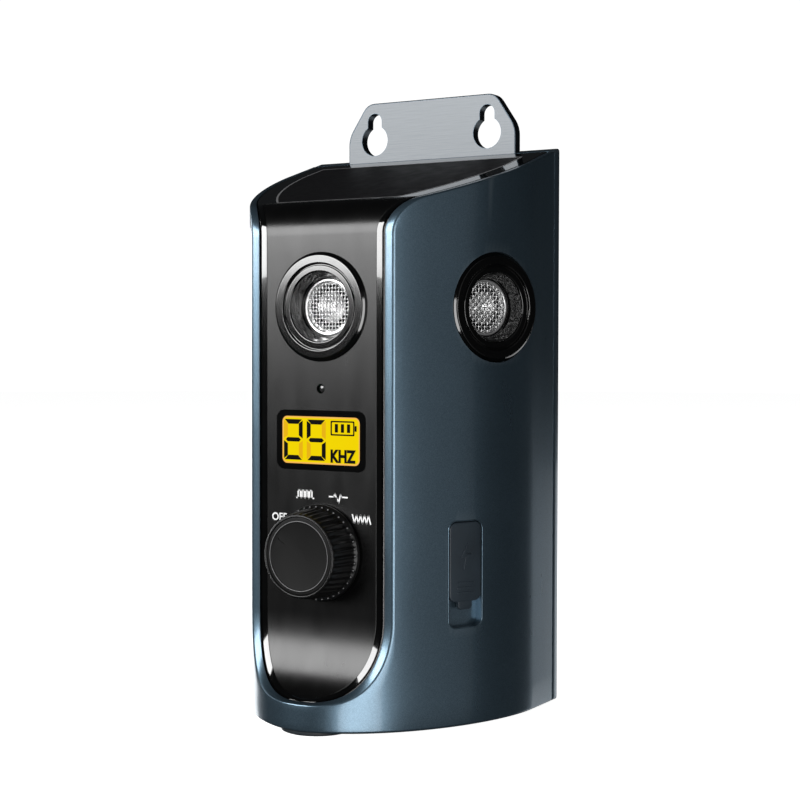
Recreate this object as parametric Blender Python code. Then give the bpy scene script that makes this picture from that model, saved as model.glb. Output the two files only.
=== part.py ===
"""Ultrasonic pest repeller with a solar top, three speakers, a display and a mode knob.

The body stands on the plane z = 0 with its panel facing -Y. Sizes are in millimetres and become
metres when each mesh is made.
"""

import math

import bmesh
import bpy
import numpy as np
from mathutils import Matrix, Vector

MM = 0.001
FIT = 0.3  # gap between pieces that touch

# Overall body
HEIGHT = 201.8  # top of the rear edge above the floor
HALF_WIDTH = 52.7
NOSE_Y = -46.0
REAR_Y = 46.0
FLANK_Y = 24.0  # the sides run straight behind this plane
REAR_HALF_WIDTH = HALF_WIDTH - 0.4
NOSE_POWER = 1.75  # superellipse power of the nose in plan
NOSE_CAP = 6.0  # half width of the round cap on the tip of the nose
WALL = 2.4
FOOT_HEIGHT = 1.5

# Skin of the black insert: chin sweep, flat panel, rounded shoulder, sloping top
PANEL_Y = -30.8
CHIN_Z = 10.8
CHIN_SWEEP = 28.0
SHOULDER_RADIUS = 13.0
TOP_SLOPE = 0.32
FASCIA_THICKNESS = 3.0
BORDER = 2.1  # gloss border between the shell and the satin overlay
OVERLAY_THICKNESS = 0.6

# Speakers
BEZEL_RADIUS = 0.353 * HALF_WIDTH
BEZEL_TUBE_RADIUS = BEZEL_RADIUS - 6.0
BEZEL_PROUD = 1.6
BEZEL_SKIRT = 3.6
CAN_RADIUS = BEZEL_RADIUS - 8.8
CAN_RECESS = 4.5
CAN_LENGTH = 9.0
MESH_RADIUS = CAN_RADIUS - 1.2
SIDE_SPEAKER_Y = 3.9
SIDE_SPEAKER_TURN = 21.5  # degrees that its axis is turned from +X toward the front

# Display and indicator
WINDOW_WIDTH = 0.69 * HALF_WIDTH
WINDOW_HEIGHT = 20.4
WINDOW_THICKNESS = 1.6
GLASS_THICKNESS = 1.5
BACKLIGHT_THICKNESS = 3.0
LED_RADIUS = 1.5
BEHIND_FASCIA = PANEL_Y + FASCIA_THICKNESS + FIT
BOARD_Y = BEHIND_FASCIA + GLASS_THICKNESS + BACKLIGHT_THICKNESS + 2 * FIT

# Mode knob and its rotary switch
KNOB_RADIUS = 0.313 * HALF_WIDTH
KNOB_FACE_RADIUS = KNOB_RADIUS - 2.7
KNOB_HEIGHT = 13.3
KNOB_FLUTES = 40
SHAFT_RADIUS = 3.0
POINTER_ANGLE = math.radians(56)  # from straight up toward the left
SWITCH_SIZE = 14.0
SWITCH_BUSH_RADIUS = 4.6

# Hanger plate
HANGER_HALF_WIDTH = 0.687 * HALF_WIDTH
HANGER_TOP_HALF_WIDTH = HANGER_HALF_WIDTH - 9.7
HANGER_THICKNESS = 3.8
HANGER_RISE = 21.2  # above the rear top edge
HANGER_DEPTH = 26.0  # below the rear top edge
KEYHOLE_SPACING = 2 * (HANGER_HALF_WIDTH - 11.8)
KEYHOLE_RADIUS = 5.8
KEYHOLE_SLOT_RADIUS = 3.1
HANGER_FRONT_Y = REAR_Y - 0.2 - HANGER_THICKNESS
HANGER_SCREW_X = HANGER_HALF_WIDTH / 2
HANGER_SCREW_Z = HEIGHT - 17.0

# Rear cover
COVER_DEPTH = 5.0
COVER_WALL = 2.4
SCREW_RADIUS = 1.6
SCREW_HEAD_RADIUS = 3.0

# Charging port
PORT_Y = -8.7
PORT_Z = 53.2
PORT_WIDTH = 13.5
PORT_HEIGHT = 36.0
PORT_DEPTH = 3.2
FLAP_HEIGHT = 0.75 * PORT_HEIGHT
FLAP_THICKNESS = 2.2
FLAP_TOP = PORT_HEIGHT / 2 - FIT
SOCKET_DROP = PORT_HEIGHT / 8  # height of the socket above the pocket's middle
ANCHOR_DROP = PORT_HEIGHT / 2 - 3.4

# Solar panel on the sloping top
SOLAR_INSET = 9.6
SOLAR_FRONT = -20.5
SOLAR_BACK = 37.0
SOLAR_THICKNESS = 1.2
SOLAR_LINE = 0.7

# Battery and boards
CELL_RADIUS = 9.2
CELL_LENGTH = 65.0
BOARD_THICKNESS = 1.6

SEAM_Y = REAR_Y - COVER_DEPTH
PANEL_TILT = math.atan(TOP_SLOPE)


def top_z(y: float) -> float:
    """Height of the sloping top above the floor at one depth."""
    return HEIGHT - TOP_SLOPE * (REAR_Y - y)


SHOULDER_Z = top_z(PANEL_Y + SHOULDER_RADIUS) - SHOULDER_RADIUS / math.cos(PANEL_TILT)
PANEL_SPAN = SHOULDER_Z - CHIN_Z


def panel_z(share: float) -> float:
    """Height of a panel feature, as a share of the way from the chin to the shoulder."""
    return CHIN_Z + share * PANEL_SPAN


SPEAKER_Z = panel_z(0.8456)
LED_Z = panel_z(0.6685)
DISPLAY_Z = panel_z(0.5563)
KNOB_Z = panel_z(0.3135)


# Shape helpers ------------------------------------------------------------------------------


def material(name: str, colour: tuple, roughness: float, metallic: float = 0.0):
    """A Principled material made once and shared by name."""
    found = bpy.data.materials.get(name)
    if found:
        return found
    made = bpy.data.materials.new(name)
    made.use_nodes = True
    shader = made.node_tree.nodes["Principled BSDF"]
    shader.inputs["Base Color"].default_value = (*colour, 1.0)
    shader.inputs["Roughness"].default_value = roughness
    shader.inputs["Metallic"].default_value = metallic
    made.diffuse_color = (*colour, 1.0)
    return made


def shell_paint():
    """Blue-grey paint of the shell and the rear cover."""
    return material("blue_grey_paint", (0.058, 0.091, 0.117), 0.32, 0.6)


def gloss_black():
    """Gloss black plastic."""
    return material("gloss_black", (0.006, 0.006, 0.006), 0.12)


def satin_black():
    """Satin black plastic."""
    return material("satin_black", (0.014, 0.014, 0.014), 0.4)


def rubber():
    """Black rubber."""
    return material("rubber", (0.012, 0.013, 0.014), 0.7)


def steel():
    """Plain steel."""
    return material("brushed_steel", (0.36, 0.38, 0.4), 0.38, 1.0)


def screw_steel():
    """Dark steel of the screws."""
    return material("screw_steel", (0.1, 0.1, 0.11), 0.35, 1.0)


def board_green():
    """Green circuit board."""
    return material("board_green", (0.01, 0.09, 0.035), 0.45)


def object_from(bm: bmesh.types.BMesh, name: str, look=None):
    """Turn a bmesh in millimetres into a linked object in metres, with outward faces."""
    bmesh.ops.recalc_face_normals(bm, faces=bm.faces)
    bmesh.ops.scale(bm, vec=(MM, MM, MM), verts=bm.verts)
    mesh = bpy.data.meshes.new(name)
    bm.to_mesh(mesh)
    bm.free()
    made = bpy.data.objects.new(name, mesh)
    bpy.context.collection.objects.link(made)
    if look:
        mesh.materials.append(look)
    return made


def prism(outline: list, low: float, high: float, axis: str, name: str, look=None):
    """Extrude a closed outline along one axis.

    The outline holds (x, y) pairs for axis Z, (y, z) pairs for X and (x, z) pairs for Y.
    """
    orders = {"Z": lambda a, b, c: (a, b, c), "X": lambda a, b, c: (c, a, b), "Y": lambda a, b, c: (a, c, b)}
    order = orders[axis]
    bm = bmesh.new()
    rings = [[bm.verts.new(order(a, b, level)) for a, b in outline] for level in (low, high)]
    bm.faces.new(rings[0])
    bm.faces.new(rings[1])
    count = len(outline)
    for i in range(count):
        j = (i + 1) % count
        bm.faces.new((rings[0][i], rings[0][j], rings[1][j], rings[1][i]))
    return object_from(bm, name, look)


def box(low: tuple, high: tuple, name: str, look=None):
    """An axis-aligned block between two corners."""
    outline = [(low[0], low[1]), (high[0], low[1]), (high[0], high[1]), (low[0], high[1])]
    return prism(outline, low[2], high[2], "Z", name, look)


def lathe(profile: list, name: str, look=None, steps: int = 36):
    """Turn (radius, height) pairs about local Z. A profile that starts and ends at radius 0 is solid."""
    bm = bmesh.new()
    rings = []
    for radius, height in profile:
        if radius < 1e-6:
            rings.append([bm.verts.new((0, 0, height))] * steps)
            continue
        turns = (2 * math.pi * k / steps for k in range(steps))
        rings.append([bm.verts.new((radius * math.cos(a), radius * math.sin(a), height)) for a in turns])
    closed = profile[0][0] > 1e-6
    pairs = zip(rings, rings[1:] + rings[:1]) if closed else zip(rings, rings[1:])
    for inner, outer in pairs:
        for k in range(steps):
            n = (k + 1) % steps
            corners = dict.fromkeys((inner[k], inner[n], outer[n], outer[k]))
            if len(corners) > 2:
                bm.faces.new(list(corners))
    made = object_from(bm, name, look)
    shade_round(made)
    return made


def shade_round(obj, angle: float = 35.0):
    """Smooth shading that keeps edges sharper than an angle."""
    for face in obj.data.polygons:
        face.use_smooth = True
    obj.data.set_sharp_from_angle(angle=math.radians(angle))


def rounded_rectangle(width: float, height: float, radius: float, centre=(0.0, 0.0), steps: int = 5) -> list:
    """Outline of a rectangle with round corners, counter-clockwise."""
    points = []
    for quarter, (sx, sy) in enumerate([(1, 1), (-1, 1), (-1, -1), (1, -1)]):
        cx = centre[0] + sx * (width / 2 - radius)
        cy = centre[1] + sy * (height / 2 - radius)
        for k in range(steps + 1):
            a = math.pi / 2 * (quarter + k / steps)
            points.append((cx + radius * math.cos(a), cy + radius * math.sin(a)))
    return points


def combine(obj, other, operation: str):
    """Apply an exact Boolean with another object and remove that object."""
    modifier = obj.modifiers.new("join", "BOOLEAN")
    modifier.operation = operation
    modifier.object = other
    modifier.solver = "EXACT"
    graph = bpy.context.evaluated_depsgraph_get()
    result = bpy.data.meshes.new_from_object(obj.evaluated_get(graph))
    looks = list(obj.data.materials)
    obj.modifiers.clear()
    obj.data = result
    obj.data.materials.clear()
    for look in looks:
        obj.data.materials.append(look)
    bpy.data.objects.remove(other)
    return obj


def cut(obj, *cutters):
    """Cut solids out of an object and remove them."""
    for cutter in cutters:
        combine(obj, cutter, "DIFFERENCE")
    return obj


def settle(obj, angle: float = 30.0):
    """Merge the slivers that a Boolean leaves and shade the round faces smooth."""
    bm = bmesh.new()
    bm.from_mesh(obj.data)
    bmesh.ops.remove_doubles(bm, verts=bm.verts, dist=1e-7)
    bmesh.ops.dissolve_degenerate(bm, edges=bm.edges, dist=1e-7)
    bm.to_mesh(obj.data)
    bm.free()
    shade_round(obj, angle)
    return obj


# The body's two driving curves --------------------------------------------------------------


def nose_half(inset: float, steps: int = 30) -> list:
    """Right half of the plan curve from the nose to the start of the straight side, moved inward."""
    depth = FLANK_Y - NOSE_Y
    turn = np.linspace(0, math.pi / 2, 8 * steps + 1)
    x = HALF_WIDTH * np.sin(turn) ** (2 / NOSE_POWER)
    y = FLANK_Y - depth * np.cos(turn) ** (2 / NOSE_POWER)
    cap = int(np.searchsorted(x, NOSE_CAP))
    slope = (y[cap + 1] - y[cap]) / (x[cap + 1] - x[cap])
    y[:cap] = y[cap] + slope * (x[:cap] ** 2 - x[cap] ** 2) / (2 * x[cap])
    dx, dy = np.gradient(x), np.gradient(y)
    length = np.hypot(dx, dy)
    x, y = x - inset * dy / length, y + inset * dx / length
    x[0], y[-1] = 0.0, FLANK_Y
    return list(zip(x[::8].tolist(), y[::8].tolist()))


def side_x(y: float, inset: float = 0.0) -> float:
    """Half width of the body at one depth."""
    curve = nose_half(inset)
    if y > FLANK_Y:
        share = (y - FLANK_Y) / (REAR_Y - FLANK_Y)
        return HALF_WIDTH + share * (REAR_HALF_WIDTH - HALF_WIDTH) - inset
    return float(np.interp(y, [p[1] for p in curve], [p[0] for p in curve]))


def plan(inset: float, back: float, front: float = -1000.0) -> list:
    """Closed plan outline moved inward, cut off at a front and a back plane."""
    half = [p for p in nose_half(inset) if front < p[1] < back]
    if front > NOSE_Y + inset:
        half.insert(0, (side_x(front, inset), front))
        mirrored = [(-x, y) for x, y in reversed(half)]
    else:
        mirrored = [(-x, y) for x, y in reversed(half[1:])]
    return half + [(side_x(back, inset), back), (-side_x(back, inset), back)] + mirrored


def side_angle(y: float) -> float:
    """Angle of the side's outward normal from +X toward -Y at one depth."""
    return math.atan2(side_x(y + 2) - side_x(y - 2), 4)


def skin(depth: float, steps: int = 12) -> list:
    """Side profile (y, z) of the insert's face from the chin to the rear, moved inward by a depth."""
    reach = PANEL_Y - NOSE_Y
    points = [(NOSE_Y - 12.0, CHIN_Z)]
    for k in range(steps + 1):
        a = math.pi / 2 * (1 - k / steps)
        points.append((NOSE_Y + reach * math.cos(a), CHIN_Z + CHIN_SWEEP * (1 - math.sin(a))))
    for k in range(steps + 1):
        a = math.pi - (math.pi / 2 - PANEL_TILT) * k / steps
        y = PANEL_Y + SHOULDER_RADIUS * (1 + math.cos(a))
        points.append((y, SHOULDER_Z + SHOULDER_RADIUS * math.sin(a)))
    points.append((REAR_Y + 14, top_z(REAR_Y + 14)))
    line = np.array(points)
    slope = np.gradient(line, axis=0)
    slope[0], slope[-1] = line[1] - line[0], line[-1] - line[-2]
    slope /= np.linalg.norm(slope, axis=1)[:, None]
    moved = line + depth * np.column_stack([slope[:, 1], -slope[:, 0]])
    return [tuple(p) for p in moved.tolist()]


def above_skin(depth: float, name: str = "cutter"):
    """Everything in front of the skin and above it, as a cutter."""
    line = skin(depth)
    far = [(REAR_Y + 14, HEIGHT + 60), (NOSE_Y - 40, HEIGHT + 60), (NOSE_Y - 40, line[0][1])]
    return prism(line + far, -90, 90, "X", name)


def skin_band(shallow: float, deep: float, name: str, highest: float = 1e9, lowest: float = -1e9):
    """The layer between two depths under the skin, across the whole width."""
    outer, inner = ([p for p in skin(d) if lowest < p[1] < highest] for d in (shallow, deep))
    if highest < 1e9:
        outer.append((PANEL_Y + shallow, highest))
        inner.append((PANEL_Y + deep, highest))
    return prism(outer + inner[::-1], -90, 90, "X", name)


def facing(point: tuple, outward: tuple):
    """Matrix that puts a local frame on a point with local +Z outward and local Y up."""
    z = Vector(outward).normalized()
    x = Vector((0, 0, 1)).cross(z).normalized()
    y = z.cross(x)
    turn = Matrix((x, y, z)).transposed().to_4x4()
    return Matrix.Translation(Vector(point) * MM) @ turn


def put(obj, frame):
    """Bake a frame into a helper's mesh, so that a Boolean can use it where it lies."""
    obj.data.transform(frame)
    return obj


def place(obj, frame):
    """Place an object by its own transform, keeping its origin on its axis."""
    obj.matrix_world = frame
    return obj


def side_frame(y: float, z: float, side: int, angle: float, proud: float = 0.0):
    """A frame on one flank, side +1 right and -1 left, its normal turned from X toward the front."""
    normal = (side * math.cos(angle), -math.sin(angle), 0)
    point = (side * side_x(y) + proud * normal[0], y + proud * normal[1], z)
    return facing(point, normal)


def speaker_frames() -> dict:
    """Frame of each speaker's seat by name."""
    return {
        "front": facing((0, PANEL_Y, SPEAKER_Z), (0, -1, 0)),
        "right": side_frame(SIDE_SPEAKER_Y, SPEAKER_Z, 1, math.radians(SIDE_SPEAKER_TURN), -BEZEL_PROUD),
        "left": side_frame(SIDE_SPEAKER_Y, SPEAKER_Z, -1, math.radians(SIDE_SPEAKER_TURN), -BEZEL_PROUD),
    }


def port_frame():
    """Frame of the charging port on the right flank."""
    return side_frame(PORT_Y, PORT_Z, 1, side_angle(PORT_Y))


# Case ---------------------------------------------------------------------------------------


def screw_places() -> list:
    """(x, z) of the four case screws."""
    across = REAR_HALF_WIDTH - WALL - SCREW_HEAD_RADIUS - 0.8
    return [(side * across, z) for z in (FOOT_HEIGHT + 11.0, top_z(SEAM_Y) - 34.0) for side in (-1, 1)]


def tube_y(x: float, z: float, radius: float, low: float, high: float, name: str = "cutter", steps: int = 24):
    """A round bar along Y."""
    turns = (2 * math.pi * k / steps for k in range(steps))
    outline = [(x + radius * math.cos(a), z + radius * math.sin(a)) for a in turns]
    return prism(outline, low, high, "Y", name)


def make_front_shell():
    """Painted shell: floor, chin, both sides, the port pocket and the screw posts."""
    shell = prism(plan(0, SEAM_Y), FOOT_HEIGHT, HEIGHT + 20, "Z", "front_shell", shell_paint())
    hollow = prism(plan(WALL, REAR_Y + 20), FOOT_HEIGHT + WALL, HEIGHT + 30, "Z", "cutter")
    cut(shell, hollow)
    for x, z in screw_places():
        post = tube_y(x, z, SCREW_HEAD_RADIUS + 1.6, SEAM_Y - 18, SEAM_Y - FIT, "post")
        combine(shell, post, "UNION")
        cut(shell, tube_y(x, z, SCREW_RADIUS + 0.2, SEAM_Y - 15, SEAM_Y + 5))
    cut(shell, above_skin(0))
    port = port_frame()
    boss = prism(rounded_rectangle(PORT_WIDTH + 4, PORT_HEIGHT + 4, 3), -PORT_DEPTH - 2.4, -1.2, "Z", "boss")
    combine(shell, put(boss, port), "UNION")
    pocket = prism(rounded_rectangle(PORT_WIDTH, PORT_HEIGHT, 3), -PORT_DEPTH, 6, "Z", "cutter")
    socket = prism(
        rounded_rectangle(4.4, 10.4, 1.4, (0, SOCKET_DROP)), -PORT_DEPTH - 6, 1 - PORT_DEPTH, "Z", "cutter"
    )
    anchor = prism(
        rounded_rectangle(3.6, 3.6, 1.7, (0, ANCHOR_DROP)), -PORT_DEPTH - 6, 1 - PORT_DEPTH, "Z", "cutter"
    )
    cut(shell, put(pocket, port), put(socket, port), put(anchor, port))
    for side in ("left", "right"):
        radius = BEZEL_RADIUS + FIT
        hole = lathe([(0, -12), (radius, -12), (radius, 9), (0, 9)], "cutter")
        cut(shell, put(hole, speaker_frames()[side]))
    return settle(shell)


def hanger_outline(gap: float = 0.0) -> list:
    """Front view of the hanger plate, with its upper corners cut back and every corner rounded."""
    half, top = HANGER_HALF_WIDTH + gap, HANGER_TOP_HALF_WIDTH + gap
    low, high = HEIGHT - HANGER_DEPTH - gap, HEIGHT + HANGER_RISE + gap
    corners = [
        (half, low), (half, high - 12.5), (top, high), (-top, high), (-half, high - 12.5), (-half, low),
    ]
    reaches = [2.0, 3.0, 4.5, 4.5, 3.0, 2.0]
    return rounded_corners(corners, reaches)


def rounded_corners(corners: list, reaches: list, steps: int = 5) -> list:
    """Outline whose corners are curves that start and end at a reach from each corner."""
    points = []
    count = len(corners)
    for i, (corner, reach) in enumerate(zip(corners, reaches)):
        here = Vector(corner)
        start = here + (Vector(corners[i - 1]) - here).normalized() * reach
        end = here + (Vector(corners[(i + 1) % count]) - here).normalized() * reach
        for k in range(steps + 1):
            t = k / steps
            point = (1 - t) ** 2 * start + 2 * t * (1 - t) * here + t * t * end
            points.append(tuple(point))
    return points


def keyhole_outline(x: float) -> list:
    """A round hole with a narrower round-ended slot above it."""
    z = HEIGHT + 7.0
    slot_z = z + KEYHOLE_RADIUS + 1.4
    meet = math.asin(KEYHOLE_SLOT_RADIUS / KEYHOLE_RADIUS)
    points = []
    for k in range(21):
        a = math.pi / 2 + meet + (2 * math.pi - 2 * meet) * k / 20
        points.append((x + KEYHOLE_RADIUS * math.cos(a), z + KEYHOLE_RADIUS * math.sin(a)))
    for k in range(9):
        a = math.pi * k / 8
        points.append((x + KEYHOLE_SLOT_RADIUS * math.cos(a), slot_z + KEYHOLE_SLOT_RADIUS * math.sin(a)))
    return points


def make_hanger():
    """Steel plate with two keyholes, screwed into a pocket of the rear cover."""
    back = HANGER_FRONT_Y + HANGER_THICKNESS
    plate = prism(hanger_outline(), HANGER_FRONT_Y, back, "Y", "hanger_plate", steel())
    for side in (-1, 1):
        keyhole = keyhole_outline(side * KEYHOLE_SPACING / 2)
        cut(plate, prism(keyhole, HANGER_FRONT_Y - 3, back + 3, "Y", "cutter"))
        x = side * HANGER_SCREW_X
        cut(plate, tube_y(x, HANGER_SCREW_Z, SCREW_RADIUS + FIT, HANGER_FRONT_Y - 3, back + 3))
        cut(plate, tube_y(x, HANGER_SCREW_Z, SCREW_HEAD_RADIUS + FIT, back - 1.8, back + 3))
        name = "hanger_screw_right" if side > 0 else "hanger_screw_left"
        make_screw(name, x, HANGER_SCREW_Z, back - 0.2, 1.3, 5.6)
    return settle(plate)


def make_screw(name: str, x: float, z: float, head_y: float, head: float, length: float):
    """A pan-head screw driven along -Y, its head's back face at head_y, with a cross recess."""
    r, s = SCREW_HEAD_RADIUS, SCREW_RADIUS
    profile = [(0, 0), (r * 0.8, 0), (r, -0.35), (r, -head), (s, -head), (s, -length), (0, -length)]
    screw = lathe(profile, name, screw_steel(), steps=20)
    for turn in (0, math.pi / 2):
        slot = box((-r * 0.6, -0.35, -0.7), (r * 0.6, 0.35, 1), "cutter")
        cut(screw, put(slot, Matrix.Rotation(turn, 4, "Z")))
    settle(screw)
    return place(screw, facing((x, head_y, z), (0, 1, 0)))


def make_rear_cover():
    """Flat rear cover with a rim, a pocket for the hanger plate and four sunk screw holes."""
    low = SEAM_Y + FIT
    outline = [
        (-side_x(low), low),
        (side_x(low), low),
        (REAR_HALF_WIDTH, REAR_Y - 1),
        (REAR_HALF_WIDTH - 1, REAR_Y),
    ]
    outline += [(1 - REAR_HALF_WIDTH, REAR_Y), (-REAR_HALF_WIDTH, REAR_Y - 1)]
    cover = prism(outline, FOOT_HEIGHT, HEIGHT + 20, "Z", "rear_cover", shell_paint())
    inside = REAR_HALF_WIDTH - WALL
    roof = top_z(low) - FASCIA_THICKNESS - 1.5
    cut(cover, box((-inside, low - 5, FOOT_HEIGHT + WALL), (inside, REAR_Y - COVER_WALL, roof), "cutter"))
    boss_top = roof - 1.5
    boss = box(
        (-HANGER_HALF_WIDTH - 3, HANGER_FRONT_Y - 4, HEIGHT - HANGER_DEPTH - 3),
        (HANGER_HALF_WIDTH + 3, REAR_Y - 0.5, boss_top),
        "boss",
    )
    combine(cover, boss, "UNION")
    pocket = prism(hanger_outline(FIT), HANGER_FRONT_Y - FIT, REAR_Y + 5, "Y", "cutter")
    cut(cover, above_skin(0), pocket)
    for side in (-1, 1):
        cut(
            cover,
            tube_y(side * HANGER_SCREW_X, HANGER_SCREW_Z, SCREW_RADIUS + FIT, HANGER_FRONT_Y - 3, REAR_Y),
        )
    for number, (x, z) in enumerate(screw_places(), 1):
        boss = tube_y(x, z, SCREW_HEAD_RADIUS + 1.5, low, REAR_Y - 1, "boss")
        combine(cover, boss, "UNION")
        cut(cover, tube_y(x, z, SCREW_RADIUS + FIT, low - 3, REAR_Y + 3))
        cut(cover, tube_y(x, z, SCREW_HEAD_RADIUS + FIT, REAR_Y - 2.6, REAR_Y + 3))
        make_screw(f"case_screw_{number}", x, z, REAR_Y - 0.5, 1.7, 14.0)
    return settle(cover)


def make_gasket():
    """Foam seal inside the screws, squeezed between the rear cover and the shell's rear edge."""
    half = screw_places()[1][0] - SCREW_HEAD_RADIUS - 1.5 - FIT
    low, high = FOOT_HEIGHT + WALL + FIT, HEIGHT - HANGER_DEPTH - 3 - FIT
    middle = (0, (low + high) / 2)
    outer = rounded_rectangle(2 * half, high - low, 4, middle)
    ring = prism(outer, SEAM_Y + FIT, REAR_Y - COVER_WALL - FIT, "Y", "rear_gasket", rubber())
    inner = rounded_rectangle(2 * half - 3, high - low - 3, 2.5, middle)
    cut(ring, prism(inner, SEAM_Y - 3, SEAM_Y + 5, "Y", "cutter"))
    return settle(ring)


def make_feet():
    """One wide rubber foot under the nose and one under each rear corner."""
    across = REAR_HALF_WIDTH - 10.4
    places = {
        "foot_front": (0, NOSE_Y + 13.5, 12.5),
        "foot_left": (-across, FLANK_Y, 7.0),
        "foot_right": (across, FLANK_Y, 7.0),
    }
    for name, (x, y, radius) in places.items():
        profile = [
            (0, 0), (radius - 0.6, 0), (radius, 0.5), (radius, FOOT_HEIGHT - 0.1), (0, FOOT_HEIGHT - 0.1),
        ]
        place(lathe(profile, name, rubber(), steps=32), Matrix.Translation((x * MM, y * MM, 0)))


# Fascia -------------------------------------------------------------------------------------


def panel_hole(radius: float, z: float, x: float = 0.0):
    """Round cutter through the panel."""
    return tube_y(x, z, radius, PANEL_Y - 20, PANEL_Y + 20)


def window_outline(width: float, height: float, radius: float) -> list:
    """Rounded outline centred on the display's height."""
    return rounded_rectangle(width, height, radius, (0, DISPLAY_Z))


def make_fascia():
    """Gloss black insert that wraps the front, the shoulder and the top between the shell's sides."""
    fascia = prism(
        plan(WALL + 0.2, SEAM_Y - FIT),
        FOOT_HEIGHT + WALL + 1,
        HEIGHT + 10,
        "Z",
        "fascia_panel",
        gloss_black(),
    )
    combine(fascia, skin_band(0, FASCIA_THICKNESS, "band"), "INTERSECT")
    sheet = prism(plan(WALL + BORDER - FIT / 2, 0), FOOT_HEIGHT, HEIGHT, "Z", "cutter")
    combine(sheet, skin_band(-2, OVERLAY_THICKNESS + 0.1, "band", SHOULDER_Z + FIT), "INTERSECT")
    cut(fascia, sheet)
    cut(fascia, panel_hole(BEZEL_RADIUS + FIT, SPEAKER_Z), panel_hole(LED_RADIUS + FIT, LED_Z))
    cut(fascia, panel_hole(SWITCH_BUSH_RADIUS + FIT, KNOB_Z))
    cut(
        fascia,
        prism(
            window_outline(WINDOW_WIDTH - 3.4, WINDOW_HEIGHT - 2.4, 1.5),
            PANEL_Y - 9,
            PANEL_Y + 9,
            "Y",
            "cutter",
        ),
    )
    sink = WINDOW_THICKNESS + 0.2
    cut(
        fascia,
        prism(
            window_outline(WINDOW_WIDTH + FIT, WINDOW_HEIGHT + FIT, 3.2),
            PANEL_Y - 9,
            PANEL_Y + sink,
            "Y",
            "cutter",
        ),
    )
    well = prism(
        plan(SOLAR_INSET - SOLAR_LINE - 0.3, SOLAR_BACK + 1, SOLAR_FRONT - 1),
        FOOT_HEIGHT,
        HEIGHT + 9,
        "Z",
        "cutter",
    )
    combine(well, skin_band(-8, SOLAR_THICKNESS + 0.4, "band"), "INTERSECT")
    cut(fascia, well)
    return settle(fascia)


def make_overlay():
    """Satin sheet laid into the fascia from the chin up to the shoulder."""
    sheet = prism(plan(WALL + BORDER, 0), FOOT_HEIGHT, HEIGHT, "Z", "front_overlay", satin_black())
    combine(sheet, skin_band(0, OVERLAY_THICKNESS, "band", SHOULDER_Z), "INTERSECT")
    cut(sheet, panel_hole(BEZEL_RADIUS + FIT, SPEAKER_Z), panel_hole(LED_RADIUS + FIT, LED_Z))
    cut(sheet, panel_hole(SWITCH_BUSH_RADIUS + FIT, KNOB_Z))
    cut(
        sheet,
        prism(
            window_outline(WINDOW_WIDTH + FIT, WINDOW_HEIGHT + FIT, 3.2),
            PANEL_Y - 9,
            PANEL_Y + 9,
            "Y",
            "cutter",
        ),
    )
    return settle(sheet)


def make_solar():
    """Solar panel in the top's well, with the pale seal that runs round it."""
    panel = prism(
        plan(SOLAR_INSET, SOLAR_BACK, SOLAR_FRONT),
        FOOT_HEIGHT,
        HEIGHT + 9,
        "Z",
        "solar_panel",
        solar_look(),
    )
    combine(panel, skin_band(0.1, SOLAR_THICKNESS, "band"), "INTERSECT")
    outline = plan(SOLAR_INSET - SOLAR_LINE, SOLAR_BACK + 0.8, SOLAR_FRONT - 0.8)
    seal = prism(outline, FOOT_HEIGHT, HEIGHT + 9, "Z", "solar_seal", seal_look())
    combine(seal, skin_band(0, SOLAR_THICKNESS - 0.2, "band"), "INTERSECT")
    cut(
        seal,
        prism(plan(SOLAR_INSET - 0.1, SOLAR_BACK + 0.1, SOLAR_FRONT - 0.1), 0, HEIGHT + 19, "Z", "cutter"),
    )
    settle(panel)
    settle(seal)


def solar_look():
    """Near-black solar film."""
    return material("solar_cells", (0.004, 0.004, 0.006), 0.3)


def seal_look():
    """Pale grey seal."""
    return material("pale_seal", (0.15, 0.15, 0.15), 0.4)


# Speakers -----------------------------------------------------------------------------------


def bezel_profile() -> list:
    """Closed profile of the stepped bezel, heights from the seat and outward positive."""
    r, top, tube = BEZEL_RADIUS, BEZEL_PROUD, BEZEL_TUBE_RADIUS
    outer = [(r, -BEZEL_SKIRT), (r, top - 0.5), (r - 0.5, top), (r - 1.1, top), (r - 3.8, top - 1.2)]
    steps = [(r - 4.6, top - 1.5), (r - 5.0, top - 1.0), (r - 6.2, top - 1.1), (r - 6.9, top - 2.0)]
    throat = [(CAN_RADIUS + 0.6, -CAN_RECESS + 0.2), (CAN_RADIUS + 0.6, -CAN_RECESS - 4)]
    flange = [(tube, -CAN_RECESS - 4), (tube, -1.0), (r - 1.4, -1.0), (r - 1.4, -BEZEL_SKIRT)]
    return outer + steps + throat + flange


def make_speaker(name: str, frame):
    """Bezel, transducer can, cone and mesh of one ultrasonic speaker."""
    place(lathe(bezel_profile(), f"speaker_bezel_{name}", gloss_black()), frame)
    r, front, back = CAN_RADIUS, -CAN_RECESS, -CAN_RECESS - CAN_LENGTH
    lip = MESH_RADIUS + 0.2
    can = [(0, back), (r, back), (r, front - 0.3), (r - 0.3, front), (lip, front), (lip, front - 1.2)]
    can += [(lip - 0.8, front - 1.2), (lip - 0.8, back + 1), (0, back + 1)]
    place(lathe(can, f"transducer_can_{name}", aluminium()), frame)
    grille = [(0, front - 0.9), (MESH_RADIUS, front - 0.9), (MESH_RADIUS, front - 0.5), (0, front - 0.5)]
    place(lathe(grille, f"speaker_mesh_{name}", steel()), frame)
    neck, flare = 0.3 * MESH_RADIUS, MESH_RADIUS - 2.2
    cone = [(0, back + 1.3), (neck - 0.4, back + 1.3), (neck, back + 2.6), (flare, front - 1.6)]
    cone += [(flare - 0.2, front - 1.4), (neck - 0.4, back + 3.2), (0, back + 3.0)]
    place(lathe(cone, f"speaker_cone_{name}", cone_look()), frame)


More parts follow.
